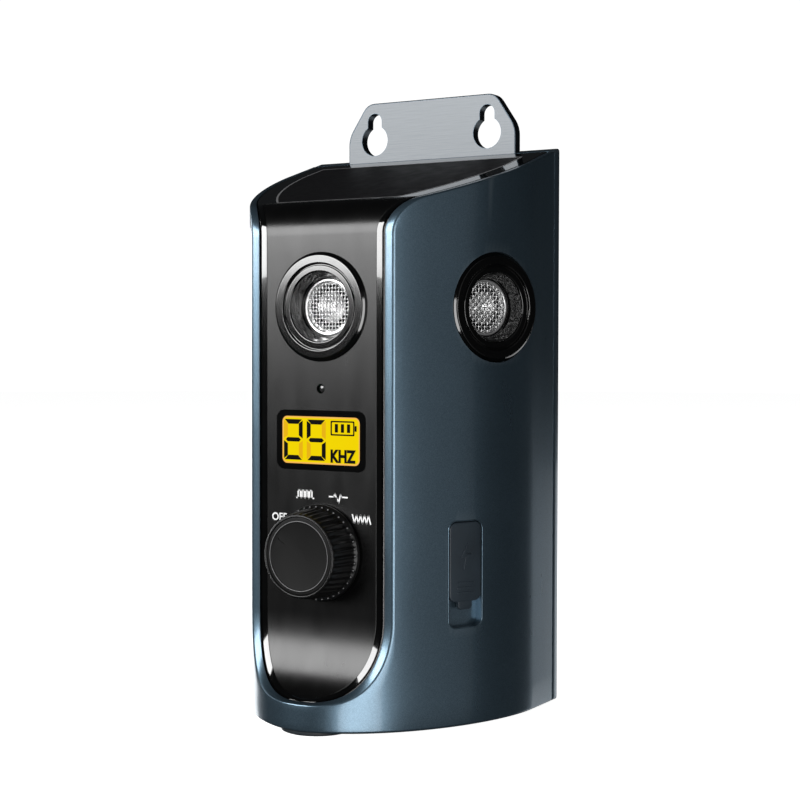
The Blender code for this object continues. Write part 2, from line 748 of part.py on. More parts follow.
def aluminium():
    """Bright aluminium."""
    return material("aluminium", (0.72, 0.73, 0.74), 0.25, 1.0)


def cone_look():
    """Dull metal of the speaker cones."""
    return material("cone", (0.35, 0.35, 0.36), 0.5, 0.5)


# Display, indicator and knob ----------------------------------------------------------------


def make_display():
    """Clear window in the fascia, with the display glass and its backlight behind it."""
    y = PANEL_Y + 0.05
    outline = window_outline(WINDOW_WIDTH, WINDOW_HEIGHT, 3.0)
    window = prism(
        outline,
        y,
        y + WINDOW_THICKNESS,
        "Y",
        "display_window",
        material("clear_window", (0.02, 0.02, 0.02), 0.05),
    )
    y = BEHIND_FASCIA
    wide, tall = WINDOW_WIDTH, WINDOW_HEIGHT
    glass = prism(window_outline(wide, tall, 0.8), y, y + GLASS_THICKNESS, "Y", "lcd_glass", amber())
    y += GLASS_THICKNESS + FIT
    prism(window_outline(wide, tall, 0.8), y, y + BACKLIGHT_THICKNESS, "Y", "lcd_backlight", amber())
    shade_round(window)
    return glass


def amber():
    """Amber display light."""
    return material("amber", (0.93, 0.68, 0.0), 0.4)


def make_indicator():
    """Small round indicator behind the panel's hole, with its domed end just inside the face."""
    r, long = LED_RADIUS, BOARD_Y - PANEL_Y - FIT
    profile = [(0, -0.6), (r * 0.6, -0.8), (r, -1.4), (r, -long), (0, -long)]
    look = material("indicator", (0.02, 0.02, 0.02), 0.2)
    place(lathe(profile, "indicator_led", look, steps=20), facing((0, PANEL_Y, LED_Z), (0, -1, 0)))


def fluted_ring(radius: float, depth: float, steps: int = 2) -> list:
    """Outline of the knob's grip, with shallow round flutes."""
    count = KNOB_FLUTES * steps
    turns = (2 * math.pi * k / count for k in range(count))
    return [(radius - depth * (0.5 + 0.5 * math.cos(KNOB_FLUTES * a)), a) for a in turns]


def make_knob():
    """Fluted mode knob, its satin cap and the switch shaft, all turning about the panel's normal."""
    frame = facing((0, PANEL_Y, KNOB_Z), (0, -1, 0))
    r, face, high = KNOB_RADIUS, KNOB_FACE_RADIUS, KNOB_HEIGHT
    levels = [(r, 0.0, 0.5), (r, 0.0, 1.8), (r - 0.7, 0.2, 2.6), (r - 1.0, 0.55, 3.2)]
    levels += [(face + 0.4, 0.55, high - 1.2), (face, 0.2, high - 0.5), (face - 0.6, 0.0, high)]
    bm = bmesh.new()
    rings = []
    for radius, depth, height in levels:
        ring = fluted_ring(radius, depth)
        rings.append([bm.verts.new((rad * math.cos(a), rad * math.sin(a), height)) for rad, a in ring])
    bm.faces.new(rings[0])
    bm.faces.new(rings[-1])
    for low, up in zip(rings, rings[1:]):
        for k in range(len(low)):
            n = (k + 1) % len(low)
            bm.faces.new((low[k], low[n], up[n], up[k]))
    knob = object_from(bm, "mode_knob", gloss_black())
    cap = KNOB_FACE_RADIUS - 1.6
    cut(
        knob,
        lathe(
            [(0, high - 1), (cap + 0.2, high - 1), (cap + 0.2, high + 3), (0, high + 3)], "cutter", steps=48
        ),
    )
    bore = SHAFT_RADIUS + 0.2
    cut(knob, lathe([(0, -1), (bore, -1), (bore, high - 3.4), (0, high - 3.4)], "cutter", steps=24))
    cut(knob, lathe([(0, -1), (r - 3, -1), (r - 3, 2.2), (0, 2.2)], "cutter", steps=32))
    place(settle(knob, 40), frame)
    disc = lathe(
        [(0, high - 0.9), (cap, high - 0.9), (cap, high - 0.2), (0, high - 0.2)],
        "knob_cap",
        satin_black(),
        steps=48,
    )
    mark = box((-0.45, cap - 3.6, high - 0.5), (0.45, cap - 1.0, high + 2), "cutter")
    cut(disc, put(mark, Matrix.Rotation(POINTER_ANGLE, 4, "Z")))
    place(settle(disc), frame)
    reach = BOARD_Y - PANEL_Y - FIT - 1.2
    shaft = [
        (0, -reach),
        (SHAFT_RADIUS, -reach),
        (SHAFT_RADIUS, high - 4),
        (SHAFT_RADIUS - 0.5, high - 3.6),
        (0, high - 3.6),
    ]
    place(lathe(shaft, "knob_shaft", steel(), steps=24), frame)


def make_switch():
    """Rotary switch on the board, with the threaded bush and nut that the shaft turns in."""
    frame = facing((0, PANEL_Y, KNOB_Z), (0, -1, 0))
    deep = BOARD_Y - PANEL_Y - FIT
    front = FASCIA_THICKNESS + 2 * FIT
    half = SWITCH_SIZE / 2
    body = box(
        (-half, -half, -deep),
        (half, half, -front),
        "rotary_switch",
        material("switch_blue", (0.02, 0.05, 0.12), 0.45),
    )
    bush = [(0, -front - 1), (SWITCH_BUSH_RADIUS, -front - 1), (SWITCH_BUSH_RADIUS, 0.8), (0, 0.8)]
    combine(body, lathe(bush, "bush", steps=24), "UNION")
    bore = SHAFT_RADIUS + FIT
    cut(body, lathe([(0, -deep + 1), (bore, -deep + 1), (bore, 5), (0, 5)], "cutter", steps=24))
    place(settle(body), frame)


# Port ---------------------------------------------------------------------------------------


def make_port():
    """Rubber flap over the charging socket, hinged along its top edge."""
    frame = port_frame()
    hinge = frame @ Matrix.Translation((0, FLAP_TOP * MM, 0))
    wide = PORT_WIDTH - 2 * FIT
    outline = rounded_rectangle(wide, FLAP_HEIGHT, 2.6, (0, -FLAP_HEIGHT / 2))
    flap = prism(outline, -FLAP_THICKNESS, 0, "Z", "port_cover", rubber())
    tab = prism(rounded_rectangle(5.6, 4.6, 1.0, (0, -FLAP_HEIGHT - 0.4)), -1.7, -0.2, "Z", "tab")
    combine(flap, tab, "UNION")
    plug = prism(
        rounded_rectangle(2.2, 6.0, 1.0, (0, SOCKET_DROP - FLAP_TOP)),
        -FLAP_THICKNESS - 1.6,
        -1,
        "Z",
        "plug",
    )
    combine(flap, plug, "UNION")
    place(settle(flap), hinge)
    stud = [
        (0, -PORT_DEPTH - 3.4), (1.5, -PORT_DEPTH - 3.4), (1.5, -PORT_DEPTH + 0.2), (0, -PORT_DEPTH + 0.2),
    ]
    anchor = lathe(stud, "port_cover_anchor", rubber(), steps=16)
    place(anchor, frame @ Matrix.Translation((0, ANCHOR_DROP * MM, 0)))
    socket_frame = frame @ Matrix.Translation((0, SOCKET_DROP * MM, 0))
    shell = prism(
        rounded_rectangle(3.6, 9.6, 1.2), -PORT_DEPTH - 8.4, -PORT_DEPTH - 1.0, "Z", "usb_socket", steel()
    )
    cut(shell, prism(rounded_rectangle(2.8, 8.8, 0.9), -PORT_DEPTH - 7.4, 0, "Z", "cutter"))
    place(settle(shell), socket_frame)
    board = prism(
        rounded_rectangle(14, 30, 1),
        -PORT_DEPTH - 10.0,
        -PORT_DEPTH - 8.7,
        "Z",
        "charge_board",
        board_green(),
    )
    place(board, socket_frame)


# Inside -------------------------------------------------------------------------------------


def make_board():
    """Main board behind the display and the knob, below the front speaker."""
    low, high = panel_z(0.2), SPEAKER_Z - BEZEL_RADIUS - 1
    half = side_x(BOARD_Y) - WALL - 6
    outline = rounded_rectangle(2 * half, high - low, 2, (0, (low + high) / 2))
    prism(outline, BOARD_Y, BOARD_Y + BOARD_THICKNESS, "Y", "main_board", board_green())


def make_battery():
    """Two upright cells in a tray that stands in front of the rear cover."""
    centre_y = SEAM_Y - CELL_RADIUS - 6.0
    low = FOOT_HEIGHT + WALL + 24.0
    gap = 1.0
    for side, name in ((-1, "battery_cell_left"), (1, "battery_cell_right")):
        x = side * (CELL_RADIUS + gap)
        r = CELL_RADIUS
        cell = [
            (0, 0),
            (r - 0.6, 0),
            (r, 0.6),
            (r, CELL_LENGTH - 0.6),
            (r - 0.6, CELL_LENGTH),
            (2.6, CELL_LENGTH),
        ]
        cell += [(2.6, CELL_LENGTH + 1), (0, CELL_LENGTH + 1)]
        look = material("cell_wrap", (0.02, 0.12, 0.25), 0.35)
        place(lathe(cell, name, look, steps=28), Matrix.Translation((x * MM, centre_y * MM, low * MM)))
    wide = 2 * CELL_RADIUS + 2 * gap + 1.6
    back = SEAM_Y - 3.0
    tray = box(
        (-wide, centre_y - 4, low - 2.4),
        (wide, back, low + CELL_LENGTH + 3.6),
        "battery_tray",
        satin_black(),
    )
    inner = box(
        (-wide + 1.4, centre_y - 20, low - FIT),
        (wide - 1.4, centre_y + CELL_RADIUS + FIT, low + CELL_LENGTH + 1 + FIT),
        "cutter",
    )
    cut(tray, inner)


def main():
    """Clear the scene and build every piece."""
    for obj in list(bpy.data.objects):
        bpy.data.objects.remove(obj)
    make_front_shell()
    make_rear_cover()
    make_gasket()
    make_hanger()
    make_feet()
    make_fascia()
    make_overlay()
    make_solar()
    for name, frame in speaker_frames().items():
        make_speaker(name, frame)
    make_display()
    make_indicator()
    make_knob()
    make_switch()
    make_port()
    make_board()
    make_battery()


if __name__ == "__main__":
    main()
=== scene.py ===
"""Visual model of an ultrasonic pest repeller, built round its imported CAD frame.

Lengths inside the classes are millimetres in the frame's axes. The mesh makers turn them into metres.
"""

import logging
import math
from dataclasses import dataclass, field
from enum import Enum

import bmesh
import bpy
import numpy as np
from mathutils import Matrix, Vector


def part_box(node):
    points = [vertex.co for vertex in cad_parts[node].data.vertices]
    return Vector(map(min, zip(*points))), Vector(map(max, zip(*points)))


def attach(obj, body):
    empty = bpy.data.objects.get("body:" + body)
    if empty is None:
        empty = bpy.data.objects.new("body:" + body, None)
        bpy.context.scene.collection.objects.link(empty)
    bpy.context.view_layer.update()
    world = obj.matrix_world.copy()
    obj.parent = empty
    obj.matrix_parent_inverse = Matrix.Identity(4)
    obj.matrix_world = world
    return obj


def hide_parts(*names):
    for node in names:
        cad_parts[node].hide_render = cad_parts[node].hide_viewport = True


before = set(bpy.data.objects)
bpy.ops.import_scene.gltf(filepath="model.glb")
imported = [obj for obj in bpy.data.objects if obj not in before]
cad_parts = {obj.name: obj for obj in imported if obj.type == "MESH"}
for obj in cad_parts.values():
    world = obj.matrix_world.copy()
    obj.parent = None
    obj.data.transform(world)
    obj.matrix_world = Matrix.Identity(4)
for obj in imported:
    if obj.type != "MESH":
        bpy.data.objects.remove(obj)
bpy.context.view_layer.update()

MM = 0.001
LOG = logging.getLogger("repeller")
NOISE_SPAN = (0.3, 0.7)
MIX_A, MIX_B, MIX_RESULT = 6, 7, 2
SHARP_ANGLE = 32.0
SAME_POINT = 1e-4
Point = tuple[float, float, float]
Colour = tuple[float, float, float]
Outline = list[tuple[float, float]]
Object = bpy.types.Object
Material = bpy.types.Material
Node = bpy.types.Node
MeshDraft = bmesh.types.BMesh


class Body(Enum):
    """The rigid bodies that pieces ride on."""

    CASE = "case"
    KNOB = "knob"
    FLAP = "flap"


class Side(Enum):
    """The sides of the case, with the sign of X on each."""

    LEFT = -1
    RIGHT = 1


def corner_mm(node: str, high: bool) -> Vector:
    """Corner of a CAD node's box.

    Args:
        node: The node's name.
        high: True for the highest corner and False for the lowest.

    Returns:
        The corner in millimetres.
    """
    return Vector(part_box(node)[1 if high else 0]) / MM


def corners_mm(node: str) -> tuple[Vector, Vector]:
    """Lowest and highest corner of a CAD node's box in millimetres."""
    return corner_mm(node, False), corner_mm(node, True)


def middle_mm(node: str) -> Vector:
    """Middle of a CAD node's box in millimetres."""
    return (corner_mm(node, False) + corner_mm(node, True)) / 2


# Finishes -----------------------------------------------------------------------------------


@dataclass
class Shade:
    """A material's node tree, with short ways to add and join nodes."""

    name: str
    tree: bpy.types.NodeTree = field(init=False)
    shader: Node = field(init=False)
    made: Material = field(init=False)

    def __post_init__(self) -> None:
        """Make the material and find its Principled shader."""
        self.made = bpy.data.materials.new(self.name)
        self.made.use_nodes = True
        self.tree = self.made.node_tree
        self.shader = self.tree.nodes["Principled BSDF"]

    def node(self, kind: str, **inputs: object) -> Node:
        """Add a node.

        Args:
            kind: The node's type name without its prefix.
            inputs: Attributes of the node, or its inputs by name with _ for a space.

        Returns:
            The new node.
        """
        made = self.tree.nodes.new(f"ShaderNode{kind}")
        for key, value in inputs.items():
            if hasattr(made, key):
                setattr(made, key, value)
            else:
                made.inputs[key.replace("_", " ")].default_value = value
        return made

    def join(self, source: Node, output: str | int, target: Node, entry: str | int) -> None:
        """Link one node's output to another's input."""
        self.tree.links.new(source.outputs[output], target.inputs[entry])

    def place(self, scale: Point = (1, 1, 1)) -> Node:
        """Object coordinates in metres, stretched by a scale.

        Args:
            scale: How much each axis is stretched.

        Returns:
            The mapping node.
        """
        spot = self.node("TexCoord")
        mapping = self.node("Mapping")
        mapping.inputs["Scale"].default_value = scale
        self.join(spot, "Object", mapping, "Vector")
        return mapping

    def noise(self, size_mm: float, detail: float = 3.0, stretch: Point = (1, 1, 1)) -> Node:
        """Noise of one feature size.

        Args:
            size_mm: The size of its features.
            detail: The noise's detail.
            stretch: How much each axis is stretched.

        Returns:
            The noise node.
        """
        made = self.node("TexNoise", Scale=1 / (size_mm * MM), Detail=detail)
        self.join(self.place(stretch), "Vector", made, "Vector")
        return made

    def ramp(self, source: Node, output: str, low: float, high: float, ends: tuple) -> Node:
        """Colour ramp between two positions.

        Args:
            source: The node that drives the ramp.
            output: That node's output.
            low: Position of the first colour.
            high: Position of the second colour.
            ends: The two colours, red, green and blue.

        Returns:
            The ramp node.
        """
        made = self.node("ValToRGB")
        for stop, position, colour in zip(made.color_ramp.elements, (low, high), ends):
            stop.position = position
            stop.color = (*colour, 1.0)
        self.join(source, output, made, "Fac")
        return made

    def tint(self, source: Node) -> None:
        """Link a node's colour to the shader's base colour."""
        self.join(source, "Color", self.shader, "Base Color")

    def roughen(self, source: Node, low: float, high: float) -> None:
        """Drive the roughness from a noise texture between two values.

        Args:
            source: The texture.
            low: The roughness at the texture's low end.
            high: The roughness at its high end.
        """
        start, end = NOISE_SPAN
        spread = self.node("MapRange", From_Min=start, From_Max=end, To_Min=low, To_Max=high)
        self.join(source, "Fac", spread, "Value")
        self.join(spread, "Result", self.shader, "Roughness")

    def relief(self, source: Node, output: str, height_mm: float, strength: float = 1.0) -> None:
        """Bump from a texture.

        Args:
            source: The texture.
            output: The texture's output.
            height_mm: The height of its relief.
            strength: How much of the relief shows.
        """
        bump = self.node("Bump", Strength=strength, Distance=height_mm * MM)
        previous = self.shader.inputs["Normal"].links
        if previous:
            self.tree.links.new(previous[0].from_socket, bump.inputs["Normal"])
        self.join(source, output, bump, "Height")
        self.join(bump, "Normal", self.shader, "Normal")

    def set(self, **values: object) -> None:
        """Set the shader's own sockets, with _ for a space in each name."""
        for key, value in values.items():
            socket = self.shader.inputs[key.replace("_", " ")]
            socket.default_value = (*value, 1.0) if isinstance(value, tuple) else value


@dataclass(frozen=True)
class Plastic:
    """Moulded plastic with a fine grain, and small changes of tone and gloss."""

    name: str
    colour: Colour
    roughness: float
    grain_mm: float = 0.25
    grain_height_mm: float = 0.003
    coat: float = 0.0
    coat_roughness: float = 0.05
    specular: float = 0.5

    def make(self) -> Material:
        """Build the material.

        Returns:
            The finished material.
        """
        shade = Shade(self.name)
        tone = shade.noise(14.0, 4.0)
        lighter = tuple(min(1.0, c * 1.18 + 0.0006) for c in self.colour)
        darker = tuple(c * 0.86 for c in self.colour)
        colour = shade.ramp(tone, "Fac", *NOISE_SPAN, (darker, lighter))
        shade.tint(colour)
        wipe = shade.noise(6.0, 5.0, (1, 1, 0.25))
        shade.roughen(wipe, self.roughness * 0.92, self.roughness * 1.1)
        shade.relief(shade.noise(self.grain_mm, 2.0), "Fac", self.grain_height_mm)
        shade.set(Coat_Weight=self.coat, Coat_Roughness=self.coat_roughness)
        shade.set(Specular_IOR_Level=self.specular)
        return shade.made


@dataclass(frozen=True)
class MetallicPaint:
    """Blue-grey paint with fine flakes under a satin lacquer, with a painted highlight that makes its sharp
    edges paler.
    """

    name: str = "metallic_paint"
    deep: Colour = (0.074, 0.119, 0.156)
    bright: Colour = (0.109, 0.167, 0.216)
    # Paler colour that sharp edges take on: a painted highlight.
    edge_highlight: Colour = (0.3, 0.37, 0.42)
    metallic: float = 0.82
    roughness: float = 0.29
    flake_mm: float = 0.16
    coat: float = 0.32

    def make(self) -> Material:
        """Build the material.

        Returns:
            The finished material.
        """
        shade = Shade(self.name)
        flakes = shade.node("TexVoronoi", Scale=1 / (self.flake_mm * MM))
        shade.join(shade.place(), "Vector", flakes, "Vector")
        cell = shade.node("SeparateColor")
        shade.join(flakes, "Color", cell, "Color")
        colour = shade.ramp(cell, "Red", 0.1, 0.9, (self.deep, self.bright))
        cloud = shade.ramp(shade.noise(30.0, 3.0), "Fac", *NOISE_SPAN, ((0.95,) * 3, (1.04,) * 3))
        tint = shade.node("Mix", data_type="RGBA", blend_type="MULTIPLY")
        tint.inputs[0].default_value = 1.0
        shade.join(colour, "Color", tint, MIX_A)
        shade.join(cloud, "Color", tint, MIX_B)
        # Painted highlight: sharp convex edges are mixed toward the paler colour.
        edge = shade.node("NewGeometry")
        highlight_mask = shade.ramp(edge, "Pointiness", 0.53, 0.6, ((0,) * 3, (0.35,) * 3))
        paint = shade.node("Mix", data_type="RGBA")
        shade.join(highlight_mask, "Color", paint, 0)
        shade.join(tint, MIX_RESULT, paint, MIX_A)
        paint.inputs[MIX_B].default_value = (*self.edge_highlight, 1.0)
        shade.join(paint, MIX_RESULT, shade.shader, "Base Color")
        wipe = shade.noise(9.0, 4.0, (1, 1, 0.3))
        shade.roughen(wipe, self.roughness * 0.94, self.roughness * 1.06)
        shade.relief(flakes, "Distance", 0.0016)
        shade.set(Metallic=self.metallic, Coat_Weight=self.coat, Coat_Roughness=0.08)
        return shade.made


@dataclass(frozen=True)
class Metal:
    """Metal with a drawn or turned grain along one axis."""

    name: str
    colour: Colour
    roughness: float
    stretch: Point = (0.02, 1, 1)
    grain_mm: float = 0.12
    grain_height_mm: float = 0.004
    anisotropic: float = 0.4

    def make(self) -> Material:
        """Build the material.

        Returns:
            The finished material.
        """
        shade = Shade(self.name)
        grain = shade.noise(self.grain_mm, 3.0, self.stretch)
        darker = tuple(c * 0.8 for c in self.colour)
        colour = shade.ramp(grain, "Fac", 0.25, 0.75, (darker, self.colour))
        shade.tint(colour)
        shade.roughen(grain, self.roughness * 0.85, self.roughness * 1.2)
        shade.relief(grain, "Fac", self.grain_height_mm)
        shade.set(Metallic=1.0, Anisotropic=self.anisotropic)
        return shade.made


@dataclass(frozen=True)
class BrushedPaint:
    """Pale grey lacquer over sheet metal, with the brushing showing through."""

    name: str = "brushed_plate"
    pale: Colour = (0.29, 0.31, 0.33)
    dark: Colour = (0.22, 0.238, 0.255)
    roughness: float = 0.5

    def make(self) -> Material:
        """Build the material.

        Returns:
            The finished material.
        """
        shade = Shade(self.name)
        grain = shade.noise(0.35, 4.0, (0.03, 1, 1))
        colour = shade.ramp(grain, "Fac", *NOISE_SPAN, (self.dark, self.pale))
        shade.tint(colour)
        shade.roughen(grain, self.roughness * 0.9, self.roughness * 1.1)
        shade.relief(grain, "Fac", 0.003)
        shade.set(Metallic=0.1, Specular_IOR_Level=0.3)
        return shade.made


@dataclass(frozen=True)
class SolarCells:
    """Near-black solar film with a fine weave of dots under clear resin."""

    name: str = "solar_cells"
    dark: Colour = (0.0035, 0.0035, 0.0042)
    dot: Colour = (0.011, 0.011, 0.012)
    pitch_mm: float = 0.62
    roughness: float = 0.6

    def make(self) -> Material:
        """Build the material.

        Returns:
            The finished material.
        """
        shade = Shade(self.name)
        place = shade.place()
        place.inputs["Rotation"].default_value = (0, 0, math.radians(38))
        dots = shade.node("TexVoronoi", Scale=1 / (self.pitch_mm * MM), Randomness=0.25)
        shade.join(place, "Vector", dots, "Vector")
        colour = shade.ramp(dots, "Distance", 0.15, 0.55, (self.dot, self.dark))
        shade.tint(colour)
        shade.relief(dots, "Distance", 0.02, 0.6)
        shade.roughen(shade.noise(5.0), self.roughness * 0.9, self.roughness * 1.1)
        shade.set(Specular_IOR_Level=0.14)
        return shade.made


@dataclass(frozen=True)
class Glow:
    """Backlit film: even colour with a slightly warmer drift, under a clear face."""

    name: str
    colour: Colour
    warm: Colour
    strength: float

    def make(self) -> Material:
        """Build the material.

        Returns:
            The finished material.
        """
        shade = Shade(self.name)
        drift = shade.noise(11.0, 2.0)
        colour = shade.ramp(drift, "Fac", 0.35, 0.7, (self.colour, self.warm))
        dim = [tuple(c * 0.1 for c in tone) for tone in (self.colour, self.warm)]
        shade.tint(shade.ramp(drift, "Fac", 0.35, 0.7, dim))
        shade.join(colour, "Color", shade.shader, "Emission Color")
        shade.roughen(shade.noise(0.4), 0.32, 0.38)
        shade.set(Emission_Strength=self.strength, Specular_IOR_Level=0.0)
        return shade.made


def grey(level: float) -> Colour:
    """Neutral colour of one brightness."""
    return (level, level, level)


def built(finish: Plastic | MetallicPaint | Metal | BrushedPaint | SolarCells | Glow) -> Material:
    """Dataclass field that holds a finish's material, built with its owner."""
    return field(default_factory=finish.make)


@dataclass
class Finishes:
    """Every finish of the object, built once."""

    paint: Material = built(MetallicPaint())
    gloss: Material = built(Plastic("gloss_black", grey(0.001), 0.09, 1.5, 0.001, 1.0, 0.02))
    bezel: Material = built(Plastic("bezel_black", grey(0.001), 0.1, 0.4, 0.0006, specular=1.0))
    satin: Material = built(Plastic("satin_black", grey(0.0014), 0.25, 0.3, 0.002, specular=0.4))
    grip: Material = built(Plastic("grip_black", grey(0.004), 0.3, 0.3, 0.002, specular=0.3))
    cap: Material = built(Plastic("cap_black", grey(0.004), 0.5, 0.3, 0.003, specular=0.14))
    rubber: Material = built(Plastic("rubber", (0.014, 0.018, 0.022), 0.5, 0.35, 0.008, specular=0.4))
    flap: Material = built(Plastic("flap_rubber", (0.022, 0.032, 0.042), 0.45, 0.35, 0.006, specular=0.4))
    steel: Material = built(BrushedPaint())
    plate_edge: Material = built(Metal("plate_edge", (0.055, 0.07, 0.085), 0.35, (1, 0.1, 1)))
    screw: Material = built(Metal("blackened_screw", (0.12, 0.12, 0.125), 0.32, (1, 1, 1)))
    bright: Material = built(Metal("turned_aluminium", grey(0.93), 0.34, (1, 1, 1), 0.2, 0.001, 0.0))
    wire: Material = built(Metal("mesh_wire", grey(0.86), 0.3, (1, 1, 1), 0.1, 0.002, 0.0))
    ink: Material = built(Plastic("white_ink", grey(0.82), 0.5, 0.2, 0.002))
    # Pale grey for the solar panel's real border line and for the knob's painted highlights.
    line: Material = built(Plastic("pale_line_and_highlight", (0.2, 0.2, 0.205), 0.38, 0.3, 0.002))
    solar: Material = built(SolarCells())
    amber: Material = built(Glow("amber_light", (0.93, 0.72, 0.002), (0.95, 0.69, 0.002), 0.82))
    amber_edge: Material = built(Glow("amber_edge", (1.0, 0.5, 0.09), (1.0, 0.56, 0.13), 0.8))
    unlit: Material = built(Glow("unlit_segment", (0.86, 0.47, 0.01), (0.88, 0.51, 0.012), 0.8))
    segment: Material = built(Plastic("lit_segment", grey(0.003), 0.6, 0.3, 0.001, specular=0.02))


# Mesh making --------------------------------------------------------------------------------


def held(profile: Outline, near: float = 0.12) -> Outline:
    """Add a point just inside both ends of each long side, so that smooth shading leaves it flat.

    Args:
        profile: The points of a closed section.
        near: How far from a corner each new point is.

    Returns:
        The section with the added points.
    """
    points = []
    for (x0, y0), (x1, y1) in zip(profile, profile[1:] + profile[:1]):
        points.append((x0, y0))
        long = math.hypot(x1 - x0, y1 - y0)
        if long > 5 * near:
            points += [(x0 + (x1 - x0) * s, y0 + (y1 - y0) * s) for s in (near / long, 1 - near / long)]
    return points


def dress(piece: Object, look: Material, *nodes: str, body: Body = Body.CASE) -> None:
    """Dress a piece, ride it on its body and hide the CAD nodes it stands for.

    Args:
        piece: The piece.
        look: Its material.
        nodes: CAD nodes that it replaces.
        body: The body that it moves with.
    """
    if not piece.data.materials:
        piece.data.materials.append(look)
    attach(piece, body.value)
    if nodes:
        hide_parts(*nodes)


def mesh_piece(bm: MeshDraft, name: str, turn: Matrix | None = None, sharp: float = SHARP_ANGLE) -> Object:
    """Turn a mesh in millimetres into a smooth-shaded object in metres.

    Args:
        bm: The mesh, which is freed.
        name: The object's name.
        turn: Where the mesh goes, in metres, or None for where it is.
        sharp: Edges steeper than this many degrees stay sharp.

    Returns:
        The new object.
    """
    bmesh.ops.remove_doubles(bm, verts=bm.verts, dist=SAME_POINT)
    bmesh.ops.recalc_face_normals(bm, faces=bm.faces)
    bmesh.ops.scale(bm, vec=(MM, MM, MM), verts=bm.verts)
    if turn is not None:
        bmesh.ops.transform(bm, matrix=turn, verts=bm.verts)
    data = bpy.data.meshes.new(name)
    bm.to_mesh(data)
    bm.free()
    return shaded(new_object(name, data), sharp)


def evaluated(piece: Object) -> bpy.types.Mesh:
    """New mesh of an object with its modifiers or its curve worked out."""
    graph = bpy.context.evaluated_depsgraph_get()
    return bpy.data.meshes.new_from_object(piece.evaluated_get(graph))


def new_object(name: str, data: bpy.types.ID) -> Object:
    """Link a new object.

    Args:
        name: The object's name.
        data: The mesh, curve, light or camera that it holds.

    Returns:
        The object.
    """
    made = bpy.data.objects.new(name, data)
    bpy.context.scene.collection.objects.link(made)
    return made


def shaded(piece: Object, sharp: float) -> Object:
    """Shade a piece smooth, but for its sharp edges.

    Args:
        piece: The piece.
        sharp: Edges steeper than this many degrees stay sharp.

    Returns:
        The same piece.
    """
    piece.data.shade_smooth()
    piece.data.set_sharp_from_angle(angle=math.radians(sharp))
    return piece


def cut(piece: Object, *cutters: Object) -> Object:
    """Cut solids out of a piece and remove them.

    Args:
        piece: The piece.
        cutters: The solids.

    Returns:
        The cut piece.
    """
    for cutter in cutters:
        change = piece.modifiers.new("cut", "BOOLEAN")
        change.operation = "DIFFERENCE"
        change.object = cutter
        data = evaluated(piece)
        piece.modifiers.clear()
        piece.data = data
        bpy.data.objects.remove(cutter)
    piece.data.materials.clear()
    return shaded(piece, SHARP_ANGLE)


def add_strip(bm: MeshDraft, lines: list[list[Point]], closed: bool = False) -> None:
    """Add rows of quads between lines of equally many points.

    Args:
        bm: The mesh.
        lines: The lines, one after another.
        closed: True where each line's last point joins its first.
    """
    rows = [[bm.verts.new(point) for point in line] for line in lines]
    count = len(rows[0])
    for low, high in zip(rows, rows[1:]):
        for i in range(count if closed else count - 1):
            j = (i + 1) % count
            corners = [low[i], low[j], high[j], high[i]]
            if (corners[0].co - corners[1].co).length < 1e-5:
                corners.pop(1)
            if (corners[-1].co - corners[-2].co).length < 1e-5:
                corners.pop()
            if len(corners) > 2:
                bm.faces.new(corners)


def lathe(name: str, profile: Outline, turn: Matrix, steps: int = 96) -> Object:
    """Turn a profile about local Z.

    Args:
        name: The piece's name.
        profile: Radius and height pairs, from the axis back to it, or a loop clear of the axis.
        turn: The local frame in metres.
        steps: How many steps the turn takes.

    Returns:
        The turned piece.
    """
    bm = bmesh.new()
    angles = [2 * math.pi * k / steps for k in range(steps)]
    clear = profile[0][0] > 1e-6
    path = profile + profile[:1] if clear else profile
    lines = [[(r * math.cos(a), r * math.sin(a), h) for a in angles] for r, h in path if r > 1e-6]
    add_strip(bm, lines, closed=True)
    bmesh.ops.remove_doubles(bm, verts=bm.verts, dist=SAME_POINT)
    if not clear:
        bmesh.ops.holes_fill(bm, edges=[e for e in bm.edges if e.is_boundary], sides=0)
    return mesh_piece(bm, name, turn)


def drill(radius: float, high: float, low: float, turn: Matrix, steps: int) -> Object:
    """Solid of a round hole.

    Args:
        radius: The hole's radius.
        high: Local height at which it starts.
        low: Local height at which it ends.
        turn: The local frame in metres.
        steps: How many steps its circle takes.

    Returns:
        The solid.
    """
    return lathe("hole", [(0, high), (radius, high), (radius, low), (0, low)], turn, steps)


def rounded(profile: Outline, reach: float, steps: int = 3, closed: bool = False) -> Outline:
    """Round the corners of a line.

    Args:
        profile: The line's corners.
        reach: How far along each side a corner's curve starts.
        steps: Steps in each curve.
        closed: True where the line is a loop.

    Returns:
        The rounded line's points.
    """
    corners = [Vector(p) for p in profile]
    count = len(corners)
    points = []
    for i, here in enumerate(corners):
        if not closed and i in (0, count - 1):
            points.append(tuple(here))
            continue
        before, after = corners[i - 1] - here, corners[(i + 1) % count] - here
        near = min(reach, before.length * 0.45, after.length * 0.45)
        start, end = here + before.normalized() * near, here + after.normalized() * near
        for k in range(steps + 1):
            t = k / steps
            points.append(tuple((1 - t) ** 2 * start + 2 * t * (1 - t) * here + t * t * end))
    return points


